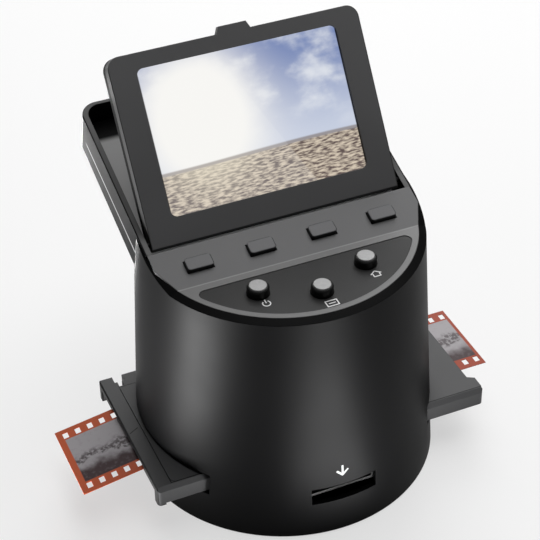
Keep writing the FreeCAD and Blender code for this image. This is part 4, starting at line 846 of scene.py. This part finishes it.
SIGNS = ((power_sign, -20.4, -35.7), (frame_sign, -0.4, -44.2), (house_sign, 19.7, -36.2))
for draw, x, y in SIGNS:
    sign = set_down(draw(), "pad_inset", Vector((x * MM, y * MM, ABOVE)), DOWN)
    sign.data.materials.append(ink)
    print(sign.name, [round(length / MM, 2) for length in sign.dimensions])

# %% [markdown]
# ## The arrow over the card slot
# A plain arrow shows which way the card goes. The wall behind it is a cone, so the arrow is cut
# into short strips and pressed onto the wall with a Shrinkwrap.

# %% Arrow
ARROW_X = -1.1 * MM
ARROW_TOP = 30.1 * MM
ARROW_TIP = 25.35 * MM
ARROW_WING = 1.9 * MM
ARROW_STROKE = 0.75 * MM
ARROW_AHEAD = -0.07
ARROW_RISE = 0.04 * MM
ARROW_CUTS = 3


def card_arrow():
    """A stem with two wings at its tip, upright in front of the wall."""
    tall = ARROW_TOP - ARROW_TIP
    stem = bar(0, tall / 2, ARROW_STROKE, tall - ARROW_STROKE / 2)
    reach = ARROW_WING * math.sqrt(2)
    up = ARROW_WING / 2 + ARROW_STROKE * 0.35
    long = reach + ARROW_STROKE
    slant = math.pi / 4
    wings = [bar(side * ARROW_WING / 2, up, long, ARROW_STROKE, side * slant) for side in (-1, 1)]
    arrow = fused("card_arrow", [stem, *wings])
    arrow.data.transform(Matrix.Rotation(math.pi / 2, 4, "X"))
    arrow.data.transform(Matrix.Translation((ARROW_X, ARROW_AHEAD, ARROW_TIP)))
    begin()
    arrow.select_set(True)
    bpy.context.view_layer.objects.active = arrow
    bpy.ops.object.mode_set(mode="EDIT")
    bpy.ops.mesh.select_all(action="SELECT")
    bpy.ops.mesh.subdivide(number_cuts=ARROW_CUTS)
    bpy.ops.object.mode_set(mode="OBJECT")
    return arrow


def press_on_wall(piece, wall, rise):
    """Projects a thin piece along +Y onto a wall."""
    begin()
    piece.select_set(True)
    bpy.context.view_layer.objects.active = piece
    press = piece.modifiers.new("press", "SHRINKWRAP")
    press.target = nodes[wall]
    press.wrap_method = "PROJECT"
    press.use_project_y = True
    press.use_positive_direction = True
    press.use_negative_direction = False
    press.offset = rise
    bpy.ops.object.modifier_apply(modifier="press")


arrow = card_arrow()
press_on_wall(arrow, "body_shell", ARROW_RISE)
arrow.data.materials.append(ink)
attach(arrow, "scanner_body")
print("arrow", round((ARROW_TOP - ARROW_TIP) / MM, 2), "mm tall")

# %% [markdown]
# ## Floor and studio
# A pale floor below, two wide soft lamps above, and lit cards that lie on the floor: the round wall
# mirrors them as pale streaks down the black shell. The floor looks white to the camera and in
# reflections, and still takes the scanner's shadow.


# %% Floor
FLOOR_SIZE = 6
FLOOR_TONE = (0.35, 0.35, 0.35, 1.0)
FLOOR_GLOW = 0.6
SKY_FILL = 0.4


def studio_floor():
    """A pale floor, whose glow only the camera and reflections see."""
    begin()
    bpy.ops.mesh.primitive_plane_add(size=FLOOR_SIZE)
    floor = bpy.context.object
    floor.name = "floor"
    bench = Bench("floor_white")
    seen = bench.add("ShaderNodeLightPath", output="Is Camera Ray")
    glossy = bench.add("ShaderNodeLightPath", output="Is Glossy Ray")
    through = bench.add("ShaderNodeLightPath", output="Is Transmission Ray")
    direct = (seen + glossy + through).maths("MINIMUM", 1.0)
    bench.set(Base_Color=FLOOR_TONE, Roughness=1.0, Specular_IOR_Level=0.0)
    bench.set(Emission_Color=(*WHITE, 1.0), Emission_Strength=direct * FLOOR_GLOW)
    floor.data.materials.append(bench.material)


def studio_sky(fill):
    """Grey light from all round, which the camera and reflections see as white."""
    world = bpy.data.worlds.new("studio")
    bpy.context.scene.world = world
    world.use_nodes = True
    tree = world.node_tree
    path = tree.nodes.new("ShaderNodeLightPath")
    seen = path.outputs["Is Camera Ray"]
    for name in ("Is Glossy Ray", "Is Transmission Ray"):
        either = tree.nodes.new("ShaderNodeMath")
        either.operation = "MAXIMUM"
        tree.links.new(seen, either.inputs[0])
        tree.links.new(path.outputs[name], either.inputs[1])
        seen = either.outputs[0]
    level = tree.nodes.new("ShaderNodeMapRange")
    level.inputs[3].default_value = fill
    level.inputs[4].default_value = 1.0
    tree.links.new(seen, level.inputs[0])
    tree.links.new(level.outputs[0], tree.nodes["Background"].inputs["Strength"])


studio_floor()
studio_sky(SKY_FILL)


# %% Lamps
def lamp(name, place, aim, wide, tall, watts):
    """A soft rectangular lamp that shines from place towards aim."""
    data = bpy.data.lights.new(name, "AREA")
    data.shape = "RECTANGLE"
    data.size = wide
    data.size_y = tall
    data.energy = watts
    data.normalize = True
    light = bpy.data.objects.new(name, data)
    bpy.context.scene.collection.objects.link(light)
    light.location = place
    light.rotation_euler = (Vector(aim) - Vector(place)).to_track_quat("-Z", "Y").to_euler()
    light.visible_camera = False
    return light


def floor_card(name, place, turn, long, wide, watts):
    """A lamp that lies on the floor and shines up, for the wall to mirror."""
    card = lamp(name, place, (0, 0, 1), long, wide, watts)
    card.rotation_euler = (math.pi, 0, turn)


AIM = (0, 0, 0.06)
CARD_HEIGHT = 0.002
CARD_WIDE = 0.06
SOFTBOXES = (
    ("top_softbox", (0.2, 0.1, 0.9), 0.9, 0.9, 7.0),
    ("back_softbox", (0.3, 0.7, 0.6), 0.6, 0.4, 4.0),
)
CARDS = (
    ("left_card", -0.17, -0.03, 178.0, 0.12, 1.25),
    ("right_card", 0.012, -0.155, -78.6, 0.16, 0.55),
    ("rear_left_card", -0.03, 0.2, 98.0, 0.12, 1.8),
    ("rear_right_card", 0.13, 0.15, 49.0, 0.12, 2.4),
)
for name, place, wide, tall, watts in SOFTBOXES:
    lamp(name, place, AIM, wide, tall, watts)
for name, x, y, turn, long, watts in CARDS:
    floor_card(name, (x, y, CARD_HEIGHT), math.radians(turn), long, CARD_WIDE, watts)
print(len(SOFTBOXES), "soft lamps above and", len(CARDS), "lit cards on the floor")
